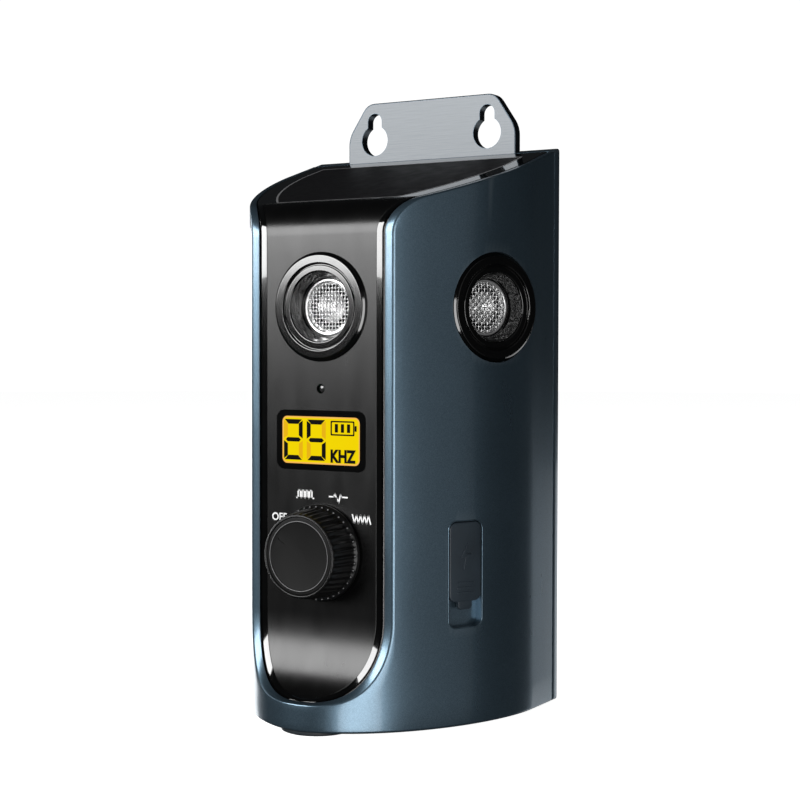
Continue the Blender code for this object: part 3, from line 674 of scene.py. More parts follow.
def slab(name: str, outline: list, low: float, high: float, turn: Matrix, bevel: float = 0.0) -> Object:
    """Extrude a flat outline along local Z, with softened edges.

    Args:
        name: The piece's name.
        outline: The outline's points in the local XY plane.
        low: Local height of the back face.
        high: Local height of the front face.
        turn: The local frame in metres.
        bevel: Width of the softened edges.

    Returns:
        The extruded piece.
    """
    bm = bmesh.new()
    base = bm.faces.new([bm.verts.new((x, y, low)) for x, y in outline])
    lifted = bmesh.ops.extrude_face_region(bm, geom=[base])["geom"]
    moved = [v for v in lifted if isinstance(v, bmesh.types.BMVert)]
    bmesh.ops.translate(bm, vec=(0, 0, high - low), verts=moved)
    if bevel > 0:
        rim = [e for e in bm.edges if any(len(f.verts) != 4 for f in e.link_faces)]
        bmesh.ops.bevel(bm, geom=rim, offset=bevel, segments=3, profile=0.5, affect="EDGES")
    return mesh_piece(bm, name, turn)


def rounded_box(
    width: float, height: float, radius: float, centre: tuple[float, float] = (0.0, 0.0), steps: int = 8
) -> Outline:
    """Outline of a rectangle with round corners.

    Args:
        width: Its width.
        height: Its height.
        radius: Its corner radius.
        centre: Its middle.
        steps: Steps in each corner.

    Returns:
        The outline's points, counter-clockwise.
    """
    points = []
    for quarter, (sx, sy) in enumerate([(1, 1), (-1, 1), (-1, -1), (1, -1)]):
        cx = centre[0] + sx * (width / 2 - radius)
        cy = centre[1] + sy * (height / 2 - radius)
        for k in range(steps + 1):
            a = math.pi / 2 * (quarter + k / steps)
            points.append((cx + radius * math.cos(a), cy + radius * math.sin(a)))
    return points


def facing(point: Point, outward: Point) -> Matrix:
    """Local frame on a face.

    Args:
        point: The frame's origin in millimetres.
        outward: The direction of its local Z. Local Y is up.

    Returns:
        The frame in metres.
    """
    z = Vector(outward).normalized()
    x = Vector((0, 0, 1)).cross(z).normalized()
    turn = Matrix((x, z.cross(x), z)).transposed().to_4x4()
    return Matrix.Translation(Vector(point) * MM) @ turn


def merged(name: str, pieces: list[Object]) -> Object:
    """Join pieces of one finish into one.

    Args:
        name: The joined piece's name.
        pieces: The pieces, which are removed.

    Returns:
        The joined piece.
    """
    bm = bmesh.new()
    for piece in pieces:
        piece.data.transform(piece.matrix_world)
        bm.from_mesh(piece.data)
        bpy.data.objects.remove(piece)
    data = bpy.data.meshes.new(name)
    bm.to_mesh(data)
    bm.free()
    return shaded(new_object(name, data), SHARP_ANGLE)


# The body's form ----------------------------------------------------------------------------


@dataclass
class Form:
    """The curves that every outer piece follows: the body's plan and the skin of its insert."""

    foot: float = 1.5
    wall: float = 2.4
    gap: float = 0.3
    flank_y: float = 24.0
    nose_power: float = 1.75
    nose_cap: float = 6.0
    chin_z: float = 10.8
    chin_sweep: float = 28.0
    shoulder_radius: float = 13.0
    top_slope: float = 0.32
    nose_steps: int = 56
    rise_steps: int = 20
    shoulder_steps: int = 28
    top_steps: int = 36

    def __post_init__(self) -> None:
        """Read the overall sizes from the frame and lay out the plan curve."""
        shell, cover = corner_mm("front_shell", True), corner_mm("rear_cover", True)
        self.half_width = shell.x
        self.nose_y = corner_mm("front_shell", False).y
        self.seam_y = shell.y
        self.rear_y = cover.y
        self.height = cover.z
        self.panel_y = corner_mm("front_overlay", True).y - 0.6
        self.tilt = math.atan(self.top_slope)
        self.shoulder_y = self.panel_y + self.shoulder_radius
        self.shoulder_z = self.top_z(self.shoulder_y) - self.shoulder_radius / math.cos(self.tilt)
        self.crest_y = self.shoulder_y - self.shoulder_radius * math.sin(self.tilt)
        turn = np.linspace(0, math.pi / 2, 900)
        x = self.half_width * np.sin(turn) ** (2 / self.nose_power)
        y = self.flank_y - (self.flank_y - self.nose_y) * np.cos(turn) ** (2 / self.nose_power)
        cap = int(np.searchsorted(x, self.nose_cap))
        slope = (y[cap + 1] - y[cap]) / (x[cap + 1] - x[cap])
        y[:cap] = y[cap] + slope * (x[:cap] ** 2 - x[cap] ** 2) / (2 * x[cap])
        y += self.nose_y - y[0]
        tail = np.linspace(0, 1, 60)[1:]
        self.plan_x = np.concatenate([x, self.half_width - 0.4 * tail])
        self.plan_y = np.concatenate([y, y[-1] + tail * (self.rear_y - y[-1])])

    def top_z(self, y: float) -> float:
        """Height of the sloping top at one depth."""
        return self.height - self.top_slope * (self.rear_y - y)

    def plan(self, inset: float) -> tuple[np.ndarray, np.ndarray]:
        """Right half of the plan curve, moved inward.

        Args:
            inset: How far inward.

        Returns:
            The curve's X and Y.
        """
        dx, dy = np.gradient(self.plan_x), np.gradient(self.plan_y)
        length = np.hypot(dx, dy)
        x = self.plan_x - inset * dy / length
        y = self.plan_y + inset * dx / length
        keep = x > 0
        return np.concatenate([[0.0], x[keep]]), np.concatenate([[self.nose_y + inset], y[keep]])

    def side_x(self, y: float, inset: float = 0.0) -> float:
        """Half width of the body at one depth, moved inward."""
        x, along = self.plan(inset)
        return float(np.interp(y, along, x))

    def side_angle(self, y: float) -> float:
        """Angle of the side's outward normal from X toward the front at one depth."""
        return math.atan2(self.side_x(y + 2) - self.side_x(y - 2), 4)

    def side_frame(self, y: float, z: float, side: Side, angle: float, proud: float = 0.0) -> Matrix:
        """Local frame on one side of the case.

        Args:
            y: Depth of its origin.
            z: Height of its origin.
            side: The side.
            angle: How far its normal turns from X toward the front, in radians.
            proud: How far the origin is moved out along the normal.

        Returns:
            The frame in metres.
        """
        normal = (side.value * math.cos(angle), -math.sin(angle), 0.0)
        point = (side.value * self.side_x(y) + proud * normal[0], y + proud * normal[1], z)
        return facing(point, normal)

    def skin(self, start_y: float, end_y: float, depth: float = 0.0) -> Outline:
        """Side view of the insert's face, from the nose to the rear.

        Args:
            start_y: Depth at which the face starts: before the panel, or where the shoulder ends.
            end_y: Depth at which it ends: the panel, where the shoulder ends, or behind that.
            depth: How far the face is moved inward.

        Returns:
            Y and Z pairs.
        """
        sweep = self.panel_y - self.nose_y
        points = []
        if start_y < self.panel_y:
            first = (start_y - self.nose_y) / sweep
            for k in range(self.nose_steps + 1):
                share = first + (1 - first) * (1 - (1 - k / self.nose_steps) ** 2)
                flat = math.sqrt(max(0.0, 1 - share * share))
                reach = math.hypot(sweep * flat, self.chin_sweep * share)
                y = self.nose_y + sweep * share + depth * self.chin_sweep * share / reach
                points.append((y, self.chin_z + self.chin_sweep * (1 - flat) - depth * sweep * flat / reach))
            low = self.chin_z + self.chin_sweep
            rise = self.shoulder_z - low
            for k in range(1, self.rise_steps + 1):
                points.append((self.panel_y + depth, low + rise * k / self.rise_steps))
        if end_y > self.panel_y + 0.01:
            radius = self.shoulder_radius - depth
            for k in range(1 if points else self.shoulder_steps, self.shoulder_steps + 1):
                a = math.pi - (math.pi / 2 - self.tilt) * k / self.shoulder_steps
                y, z = self.shoulder_y + radius * math.cos(a), self.shoulder_z + radius * math.sin(a)
                points.append((y, z))
        if end_y > self.crest_y + 0.01:
            start, low = points[-1]
            for k in range(1, self.top_steps + 1):
                step = (end_y - start) * k / self.top_steps
                points.append((start + step, low + step * self.top_slope))
        return points

    def line(self, inset: float, depth: float, end_y: float) -> list[Point]:
        """Line round the insert, from one rear corner through the nose to the other.

        Args:
            inset: How far inside the plan curve it runs.
            depth: How far under the face it runs.
            end_y: Depth at which it ends.

        Returns:
            The line's points, as many and in the same order for every inset.
        """
        half = [(self.side_x(y, inset), y, z) for y, z in self.skin(self.nose_y + inset, end_y, depth)]
        half[0] = (0.0, half[0][1], half[0][2])
        return [(-x, y, z) for x, y, z in reversed(half[1:])] + half

    def patch(
        self, name: str, inset: float, span: tuple[float, float], depth: float, across: int, thick: float
    ) -> Object:
        """Closed sheet on the insert's face.

        Args:
            name: The sheet's name.
            inset: How far inside the plan curve its sides run.
            span: Depths at which it starts and ends.
            depth: How far under the face its front lies.
            across: How many faces it has from side to side.
            thick: Its thickness.

        Returns:
            The sheet.
        """
        bm = bmesh.new()
        rows = []
        for level in (depth, depth + thick):
            for y, z in self.skin(span[0], span[1], level):
                half = max(self.side_x(y, inset), 0.02)
                rows.append([(half * (2 * k / across - 1), y, z) for k in range(across + 1)])
        count = len(rows) // 2
        front, back = rows[:count], rows[count:]
        add_strip(bm, front)
        add_strip(bm, back)
        for side in (0, -1):
            add_strip(bm, [[row[side] for row in front], [row[side] for row in back]])
        for end in (0, -1):
            add_strip(bm, [front[end], back[end]])
        return mesh_piece(bm, name)


# Case ---------------------------------------------------------------------------------------


@dataclass
class Shell:
    """The painted shell with its rounded rim, the rear cover behind it, and the three feet."""

    form: Form
    looks: Finishes
    rim_round: float = 0.5
    inner_round: float = 0.25
    foot_round: float = 1.0
    cover_round: float = 0.7

    def columns(self, line: list[Point]) -> list[Point]:
        """Leave out the points of a rim line that stand above one another.

        Args:
            line: The rim line.

        Returns:
            The points that stand on different spots of the plan.
        """
        nose, crest = self.form.nose_steps, self.form.nose_steps + self.form.rise_steps
        middle = len(line) // 2
        half = line[middle:]
        kept = half[: nose + 1] + half[crest:]
        return [(-x, y, z) for x, y, z in reversed(kept[1:])] + kept

    def wall(self, line: list[Point], base: float, foot: Outline) -> list[list[Point]]:
        """Upright wall under a rim line.

        Args:
            line: The rim line.
            base: Height of the wall's foot.
            foot: Inset and height of each extra row at the foot, from the floor up.

        Returns:
            One upright line for each column, all with as many points.
        """
        form = self.form
        low, steps = form.chin_z + form.chin_sweep, form.rise_steps
        chin = line[len(line) // 2 + form.nose_steps][2]
        uprights = []
        for x, y, z in self.columns(line):
            points = []
            for inset, height in foot:
                if y < form.flank_y:
                    ahead = y - form.flank_y
                    shrink = 1 - inset / math.hypot(x, ahead)
                    points.append((x * shrink, form.flank_y + ahead * shrink, height))
                else:
                    points.append((math.copysign(abs(x) - inset, x), y, height))
            start = points[-1][2] if points else base
            knee = min(z, chin)
            points += [(x, y, start + (knee - start) * k / 4) for k in range(1 if foot else 0, 5)]
            levels = [low + (form.shoulder_z - low) * k / steps for k in range(1, steps + 1)]
            points += [(x, y, min(z, level)) for level in levels]
            points.append((x, y, z))
            uprights.append(points)
        return uprights

    def make_shell(self) -> Object:
        """Closed shell with holes for the side speakers and the charging port.

        Returns:
            The shell.
        """
        form, r, inner = self.form, self.rim_round, self.inner_round
        bm = bmesh.new()
        turns = (0.0, 0.4, 0.8, 1.2, math.pi / 2)
        edges = [(r * (1 - math.cos(a)), r * (1 - math.sin(a))) for a in turns]
        edges += [(form.wall - inner, 0.0), (form.wall - inner * 0.3, inner * 0.3), (form.wall, inner)]
        lines = [form.line(inset, depth, form.seam_y) for inset, depth in edges]
        add_strip(bm, lines)
        foot, soft = [], self.foot_round
        for a in (math.pi / 2 * k / 4 for k in range(5)):
            foot.append((soft * (1 - math.sin(a)), form.foot + soft * (1 - math.cos(a))))
        outer = self.wall(lines[0], form.foot, foot)
        inside = self.wall(lines[-1], form.foot + form.wall, [])
        add_strip(bm, outer)
        add_strip(bm, inside)
        for walls in (outer, inside):
            bm.faces.new([bm.verts.new(upright[0]) for upright in walls])
        bmesh.ops.remove_doubles(bm, verts=bm.verts, dist=2e-3)
        bmesh.ops.dissolve_degenerate(bm, edges=bm.edges, dist=1e-3)
        bmesh.ops.holes_fill(bm, edges=[e for e in bm.edges if e.is_boundary], sides=0)
        LOG.info("shell: %d open edges", sum(e.is_boundary for e in bm.edges))
        return mesh_piece(bm, "painted_shell")

    def make_cover(self) -> Object:
        """Rear cover as a lid with softened edges.

        Returns:
            The cover.
        """
        form, r = self.form, self.cover_round
        bm = bmesh.new()
        front = form.seam_y + 0.35
        rings = [(front, 0.45), (front + 0.12, 0.12), (front + 0.45, 0.0)]
        rings += [(form.rear_y - r, 0.0), (form.rear_y - r * 0.3, r * 0.3), (form.rear_y, r)]
        loops = []
        for y, inset in rings:
            half, top = form.side_x(y) - inset, form.top_z(y) - inset
            outline = [(-half, form.foot + inset), (half, form.foot + inset), (half, top), (-half, top)]
            loops.append([(x, y, z) for x, z in rounded(outline, 1.2, 5, closed=True)])
        add_strip(bm, loops, closed=True)
        bmesh.ops.remove_doubles(bm, verts=bm.verts, dist=SAME_POINT)
        bmesh.ops.holes_fill(bm, edges=[e for e in bm.edges if e.is_boundary], sides=0)
        return mesh_piece(bm, "painted_cover")

    def rear_holes(self) -> list[Object]:
        """Solids of the four sunk screw holes and of the hanger plate's pocket.

        Returns:
            The solids.
        """
        holes = []
        for number in range(1, 5):
            node = f"case_screw_{number}"
            (low, high), spot = corners_mm(node), middle_mm(node)
            wide = high.x - low.x + 0.6
            turn = facing((spot.x, high.y, spot.z), (0, 1, 0))
            holes.append(slab("hole", rounded_box(wide, wide, wide / 2 - 0.01), -2.0, 5.0, turn))
        low, high = corners_mm("hanger_plate")
        tall = high.z - low.z + 20
        pocket = rounded_box(2 * high.x + 0.5, tall, 3.2, (0, tall / 2 - 0.25))
        holes.append(slab("hole", pocket, low.y - high.y - 0.3, 5.0, facing((0, high.y, low.z), (0, 1, 0))))
        return holes

    def make_foot(self, node: str) -> Object:
        """Rubber foot with a rounded tread.

        Args:
            node: The CAD node that it stands for.

        Returns:
            The foot.
        """
        low, high = corners_mm(node)
        r, tall = (high.x - low.x) / 2, high.z - low.z
        profile = [(0, 0), (r - 0.6, 0), (r - 0.18, 0.18), (r, 0.6), (r, tall), (0, tall)]
        turn = Matrix.Translation(Vector(((low.x + high.x) / 2, (low.y + high.y) / 2, low.z)) * MM)
        return lathe(f"{node}_tread", profile, turn, 64)

    def build(self, speakers: list[Matrix], speaker_radius: float, port: Matrix, port_size: Point) -> None:
        """Build, cut and dress the shell, the cover and the feet.

        Args:
            speakers: Frames of the side speakers.
            speaker_radius: Radius of the hole for each.
            port: Frame of the charging port.
            port_size: Width, height and corner radius of the port's opening.
        """
        holes = []
        for turn in speakers:
            holes.append(drill(speaker_radius, 7, -14, turn, 160))
        opening = rounded_box(*port_size)
        holes.append(slab("hole", opening, -12, 6, port))
        shell = cut(self.make_shell(), *holes)
        dress(shell, self.looks.paint, "front_shell")
        cover = cut(self.make_cover(), *self.rear_holes())
        dress(cover, self.looks.paint, "rear_cover")
        for node in ("foot_front", "foot_left", "foot_right"):
            dress(self.make_foot(node), self.looks.rubber, node)


@dataclass
class Insert:
    """The black insert: gloss border and top, satin face, solar panel and its pale line."""

    form: Form
    looks: Finishes
    border: float = 2.1
    solar_inset: float = 9.3
    solar_line: float = 0.7
    edge: float = 0.3

    def ring(self, name: str, insets: Outline, end_y: float) -> Object:
        """Strip that follows the case's rim.

        Args:
            name: The strip's name.
            insets: Inset and depth of each of its lines, from the outside in.
            end_y: Depth at which it ends.

        Returns:
            The strip.
        """
        bm = bmesh.new()
        add_strip(bm, [self.form.line(inset, depth, end_y) for inset, depth in insets])
        return mesh_piece(bm, name)

    def solar_outline(self, inset: float, front: float, back: float, depth: float) -> list[Point]:
        """Loop on the sloping top that keeps its distance from the rim.

        Args:
            inset: The loop's distance inside the plan curve.
            front: Depth at which the loop starts.
            back: Depth at which the loop ends.
            depth: How far under the face it lies.

        Returns:
            The loop's points.
        """
        form = self.form
        flat = []
        for k in range(41):
            y = front + (back - front) * k / 40
            flat.append((form.side_x(y, inset), y))
        loop = flat + [(-x, y) for x, y in reversed(flat)]
        return [(x, y, form.top_z(y) - depth) for x, y in rounded(loop, 0.6, 2, closed=True)]

    def build(self, openings: list[Object]) -> None:
        """Build and dress the insert.

        Args:
            openings: Solids of the openings through the satin face.
        """
        form, looks, e = self.form, self.looks, self.edge
        outer = form.wall + form.gap
        end = corner_mm("fascia_panel", True).y
        inner = form.wall + self.border
        groove = [(outer, 3.0), (outer, e), (outer + e * 0.3, e * 0.3), (outer + e, 0.0)]
        lip = [(inner - 0.1, 0.0), (inner, 0.1), (inner, 0.8)]
        rim = self.ring("gloss_border", groove + lip, form.crest_y)
        dress(rim, looks.gloss)
        top = self.ring("gloss_top_edge", groove, end)
        dress(top, looks.gloss)
        crown = form.patch("gloss_top", outer + e, (form.crest_y, end), 0.0, 40, 1.2)
        dress(crown, looks.gloss, "fascia_panel")
        side = inner + 0.05
        face = form.patch("satin_face", side, (form.nose_y + side, form.crest_y), 0.03, 32, 0.9)
        dress(cut(face, *openings), looks.satin, "front_overlay")
        self.build_solar()

    def build_solar(self) -> None:
        """Pale line and solar film on the sloping top."""
        front, back = corner_mm("solar_seal", False).y, corner_mm("solar_seal", True).y - 3.5
        wide = self.solar_line
        bm = bmesh.new()
        outside = self.solar_outline(self.solar_inset, front, back, -0.06)
        inside = self.solar_outline(self.solar_inset + wide, front + wide, back - wide, -0.06)
        add_strip(bm, [outside, inside], closed=True)
        dress(mesh_piece(bm, "solar_line"), self.looks.line, "solar_seal")
        film = self.solar_outline(self.solar_inset + wide, front + wide, back - wide, -0.02)
        bm = bmesh.new()
        bm.faces.new([bm.verts.new(point) for point in film])
        dress(mesh_piece(bm, "solar_film"), self.looks.solar, "solar_panel")


@dataclass
class Hanger:
    """The wall plate behind the case, with its two keyholes."""

    looks: Finishes
    bevel: float = 0.35
    margin: float = 0.45
    spacing: float = 48.8
    head: float = 5.8
    slot: float = 3.1
    drop: float = 14.2

    def build(self) -> None:
        """Build and dress the plate: pale brushed faces inside a dark edge."""
        low, high = corners_mm("hanger_plate")
        half, top = high.x, 27.8
        corners = [(-half, low.z), (half, low.z), (half, high.z - 12.5), (top, high.z), (-top, high.z)]
        corners.append((-half, high.z - 12.5))
        outline = rounded(corners, 3.2, 8, closed=True)
        turn = facing((0, low.y, 0), (0, -1, 0))
        plate = slab("plate_edge", outline, low.y - high.y, 0.0, turn, self.bevel)
        holes = [self.keyhole(side * self.spacing / 2, high.z, turn, 0.0) for side in (-1, 1)]
        dress(cut(plate, *holes), self.looks.plate_edge, "hanger_plate")
        shrink = self.margin
        face = [(x * (1 - shrink / half), z - shrink if z > low.z + 20 else z) for x, z in outline]
        skin = slab("plate_face", face, -0.3, 0.02, turn)
        holes = [self.keyhole(side * self.spacing / 2, high.z, turn, 0.15) for side in (-1, 1)]
        dress(cut(skin, *holes), self.looks.steel)

    def keyhole(self, x: float, top: float, turn: Matrix, grow: float) -> Object:
        """Solid of one keyhole, round below with a narrower slot above.

        Args:
            x: The keyhole's middle.
            top: Height of the plate's top edge.
            turn: The plate's frame.
            grow: How much wider the solid is than the keyhole.

        Returns:
            The solid.
        """
        head, slot = self.head + grow, self.slot + grow
        z = top - self.drop
        meet = math.asin(slot / head)
        points = []
        for k in range(41):
            a = math.pi / 2 + meet + (2 * math.pi - 2 * meet) * k / 40
            points.append((x + head * math.cos(a), z + head * math.sin(a)))
        for k in range(17):
            a = math.pi * k / 16
            points.append((x + slot * math.cos(a), z + self.head + 1.4 + slot * math.sin(a)))
        return slab("hole", points, -8, 3, turn)


# Speakers -----------------------------------------------------------------------------------


@dataclass
class Speaker:
    """One ultrasonic speaker: ringed bezel, bright transducer ring, wire mesh and cone, with a black cup of
    painted shade behind them.
    """

    name: str
    turn: Matrix
    looks: Finishes
    radius: float = 18.6
    proud: float = 1.6
    can: float = 9.8
    recess: float = 4.5
    mesh: float = 8.6
    pitch: float = 1.3
    wire: float = 0.22

    def bezel_profile(self) -> Outline:
        """Section of the bezel, from its outer lip down to the throat.

        Returns:
            Radius and height pairs of a closed loop.
        """
        r, p = self.radius, self.proud
        section = [
            (r, -3.6), (r, p - 1.2), (r - 0.25, p - 0.9), (r - 0.95, p - 0.35), (r - 1.15, p), (r - 3.75, p),
        ]
        section += [(r - 3.95, p - 0.3), (r - 4.0, p - 1.0), (r - 4.5, p - 1.0), (r - 4.55, p - 0.7)]
        section += [(r - 4.7, p - 0.5), (r - 6.5, p - 0.5), (r - 6.8, p - 0.9), (r - 7.3, p - 3.0)]
        section += [
            (r - 8.1, p - 5.2), (self.can + 0.15, p - 6.0), (self.can + 0.15, p - 7.4), (r - 6.0, p - 7.4),
        ]
        section += [(r - 4.0, -3.6)]
        return held(rounded(section, 0.14, 3, closed=True))

    def grille(self) -> Object:
        """Woven wire mesh: two sets of wavy wires.

        Returns:
            The mesh.
        """
        count = int(self.mesh / self.pitch)
        data = bpy.data.curves.new(f"grille_{self.name}", "CURVE")
        data.dimensions = "3D"
        data.bevel_depth = self.wire * MM
        data.bevel_resolution = 2
        for along in (0, 1):
            for k in range(-count, count + 1):
                offset = k * self.pitch
                reach = math.sqrt(self.mesh**2 - offset**2)
                steps = max(8, int(reach * 2 / self.pitch * 4))
                spline = data.splines.new("POLY")
                spline.points.add(steps)
                for i, point in enumerate(spline.points):
                    s = -reach + 2 * reach * i / steps
                    phase = math.pi * (s / self.pitch + along + k)
                    height = -self.recess - 0.75 + self.wire * 0.9 * math.cos(phase)
                    spot = (s, offset, height) if along == 0 else (offset, s, height)
                    point.co = (*[v * MM for v in spot], 1.0)
        curve = new_object(f"grille_{self.name}", data)
        mesh = evaluated(curve)
        bpy.data.objects.remove(curve)
        mesh.transform(self.turn)
        return shaded(new_object(f"grille_{self.name}", mesh), 60)

    def build(self) -> None:
        """Build and dress the speaker."""
        bezel = lathe(f"bezel_{self.name}", self.bezel_profile(), self.turn, 144)
        dress(bezel, self.looks.bezel, f"speaker_bezel_{self.name}")
        r, front, lip = self.can, -self.recess, self.mesh + 0.1
        section = [
            (r, front - 8), (r, front - 0.3), (r - 0.25, front), (lip + 0.15, front), (lip, front - 0.2),
        ]
        section += [(lip, front - 1.4), (lip - 0.8, front - 1.4), (lip - 0.8, front - 8)]
        ring = lathe(f"can_{self.name}", held(rounded(section, 0.12, 2, closed=True)), self.turn, 96)
        dress(ring, self.looks.bright, f"transducer_can_{self.name}")
        dress(self.grille(), self.looks.wire, f"speaker_mesh_{self.name}")
        cone = [
            (0, front - 3.2), (1.2, front - 3.4), (1.9, front - 4.0), (5.4, front - 1.9), (5.6, front - 2.3),
        ]
        cone += [(2.4, front - 5.4), (0, front - 5.6)]
        dish = lathe(f"cone_{self.name}", cone, self.turn, 64)
        dress(dish, self.looks.bright, f"speaker_cone_{self.name}")
        # Black satin cup behind the cone: painted shade for the speaker's dark depth.
        shade_lining = [(0, front - 6.3), (lip + 0.2, front - 5.8), (lip + 0.2, front - 1.6)]
        shade_lining += [(lip - 0.1, front - 1.6), (lip - 0.3, front - 5.2), (0, front - 5.9)]
        well = lathe(f"lining_{self.name}", shade_lining, self.turn, 48)
        dress(well, self.looks.satin)


# Panel --------------------------------------------------------------------------------------


class Bar(Enum):
    """The shapes of a digit's segments."""

    TOP = "wide at its top"
    FOOT = "wide at its foot"
    MIDDLE = "pointed at both ends"
    LEFT = "slanted, with its long side on the left"
    RIGHT = "slanted, with its long side on the right"


@dataclass
class Display:
    """Amber display behind a black-edged window, set to a two-digit number."""

    turn: Matrix
    looks: Finishes
    width: float = 36.4
    height: float = 20.4
    lit_width: float = 31.3
    lit_height: float = 15.7
    digits: str = "25"

    def plate(self, name: str, outline: list, low: float, high: float) -> Object:
        """Thin plate in front of the display."""
        return slab(name, outline, low, high, self.turn)

    def bar(self, x: float, y: float, wide: float, tall: float, shape: Bar) -> Outline:
        """Outline of one segment with mitred ends.

        Args:
            x: Its middle.
            y: Its middle.
            wide: Its width.
            tall: Its height.
            shape: Its shape.

        Returns:
            The outline's points.
        """
        a, b = wide / 2, tall / 2
        shapes = {
            Bar.TOP: [(-a + tall, -b), (a - tall, -b), (a, b), (-a, b)],
            Bar.FOOT: [(-a, -b), (a, -b), (a - tall, b), (-a + tall, b)],
            Bar.MIDDLE: [(-a, 0), (-a + b, -b), (a - b, -b), (a, 0), (a - b, b), (-a + b, b)],
            Bar.LEFT: [(-a, -b + a * 0.3), (a, -b + a * 1.6), (a, b - a * 1.6), (-a, b - a * 0.3)],
        }
        shapes[Bar.RIGHT] = [(-px, py) for px, py in reversed(shapes[Bar.LEFT])]
        return [(x + px, y + py) for px, py in shapes[shape]]

    def digit(self, shown: str, left: float, top: float) -> tuple[list[Outline], list[Outline]]:
        """Seven segments of one digit.

        Args:
            shown: The digit.
            left: X of the digit's left edge.
            top: Y of the digit's upper edge.

        Returns:
            Outlines of the lit segments, then of the unlit ones.
        """
        wide, tall, thick, gap = 7.8, 13.9, 1.6, 0.3
        middle, x0, x1 = left + wide / 2, left + thick / 2, left + wide - thick / 2
        half = tall / 2 - gap
        places = {
            "a": (middle, top - thick / 2, wide - 2 * gap, thick, Bar.TOP),
            "b": (x1, top - tall / 4, thick, half, Bar.RIGHT),
            "c": (x1, top - tall * 0.75, thick, half, Bar.RIGHT),
            "d": (middle, top - tall + thick / 2, wide - 2 * gap, thick, Bar.FOOT),
            "e": (x0, top - tall * 0.75, thick, half, Bar.LEFT),
            "f": (x0, top - tall / 4, thick, half, Bar.LEFT),
            "g": (middle, top - tall / 2, wide - thick, thick * 0.9, Bar.MIDDLE),
        }
        on = {"2": "abged", "5": "afgcd"}[shown]
        lit = [self.bar(*place) for key, place in places.items() if key in on]
        unlit = [self.bar(*place) for key, place in places.items() if key not in on]
        return lit, unlit

    def letters(self, words: str, x: float, y: float, tall: float, wide: float) -> Object:
        """Flat lettering.

        Args:
            words: The letters.
            x: Left edge.
            y: Lower edge.
            tall: Height of a capital.
            wide: Width of the whole word.

        Returns:
            The lettering.
        """
        place = self.turn @ Matrix.Translation(Vector((x, y, 0.34)) * MM)
        return lettering(words, place, tall, wide, 0.045)

    def build(self) -> None:
        """Build and dress the display."""
        looks = self.looks
        frame_outline = rounded_box(self.width, self.height, 3.0)
        edge_outline = rounded_box(self.lit_width + 0.5, self.lit_height + 0.5, 2.0)
        window = self.plate("window_frame", frame_outline, -1.3, 0.12)
        window = cut(window, self.plate("hole", edge_outline, -0.5, 1.0))
        dress(window, looks.gloss, "display_window")
        edge = self.plate("amber_rim", edge_outline, -0.9, -0.08)
        dress(edge, looks.amber_edge, "lcd_backlight")
        lit_field = rounded_box(self.lit_width - 0.5, self.lit_height - 0.5, 1.6)
        dress(self.plate("amber_field", lit_field, -0.7, -0.02), looks.amber, "lcd_glass")
        top = self.lit_height / 2 - 0.85
        lit, unlit = [], []
        for shown, left in zip(self.digits, (-15.2, -5.7)):
            on, off = self.digit(shown, left, top)
            lit += on
            unlit += off
        dark = [self.plate("segment", outline, -0.05, 0.05) for outline in lit]
        dark += self.battery(8.9, self.lit_height / 2 - 3.5)
        dress(merged("lit_segments", dark), looks.segment)
        faint = [self.plate("segment", outline, -0.05, 0.02) for outline in unlit]
        dress(merged("unlit_segments", faint), looks.unlit)
        unit = self.letters("KHZ", 4.3, -self.lit_height / 2 + 0.5, 4.5, 10.2)
        dress(unit, looks.segment)

    def battery(self, x: float, y: float) -> list[Object]:
        """Outline of a charge gauge with three bars and a nub.

        Args:
            x: Its middle.
            y: Its middle.

        Returns:
            The gauge's plates.
        """
        wide, tall, line = 9.6, 5.0, 0.5
        case = self.plate("gauge", rounded_box(wide, tall, 0.4, (x, y)), -0.05, 0.05)
        hollow = self.plate("hole", rounded_box(wide - 2 * line, tall - 2 * line, 0.3, (x, y)), -0.5, 0.5)
        plates = [cut(case, hollow)]
        marks = [rounded_box(1.25, 2.9, 0.15, (x + 2.45 * k, y)) for k in (-1, 0, 1)]
        marks.append(rounded_box(0.8, 1.9, 0.2, (x + wide / 2 + 0.5, y)))
        plates += [self.plate("gauge", mark, -0.05, 0.05) for mark in marks]
        return plates


def lettering(
    words: str, turn: Matrix, tall: float, wide: float, bold: float = 0.02, thick: float = 0.04
) -> Object:
    """Raised flat lettering, its lower left corner at a frame's origin.

    Args:
        words: The letters.
        turn: The frame in metres.
        tall: Height of a capital.
        wide: Width of the whole word.
        bold: How much each stroke is thickened.
        thick: How far the letters stand out.

    Returns:
        The lettering.
    """
    data = bpy.data.curves.new("letters", "FONT")
    data.body = words
    data.extrude = thick
    data.offset = bold
    text = new_object("letters", data)
    mesh = evaluated(text)
    bpy.data.objects.remove(text)
    spots = np.array([v.co for v in mesh.vertices])
    low, span = spots.min(0), np.ptp(spots, axis=0)
    mesh.transform(Matrix.Translation((-low[0], -low[1], -spots[:, 2].mean())))
    scale = (wide / span[0] * MM, tall / span[1] * MM, thick * 2 / span[2] * MM, 1.0)
    mesh.transform(Matrix.Diagonal(scale))
    mesh.transform(turn)
    return new_object(f"letters_{words.lower()}", mesh)


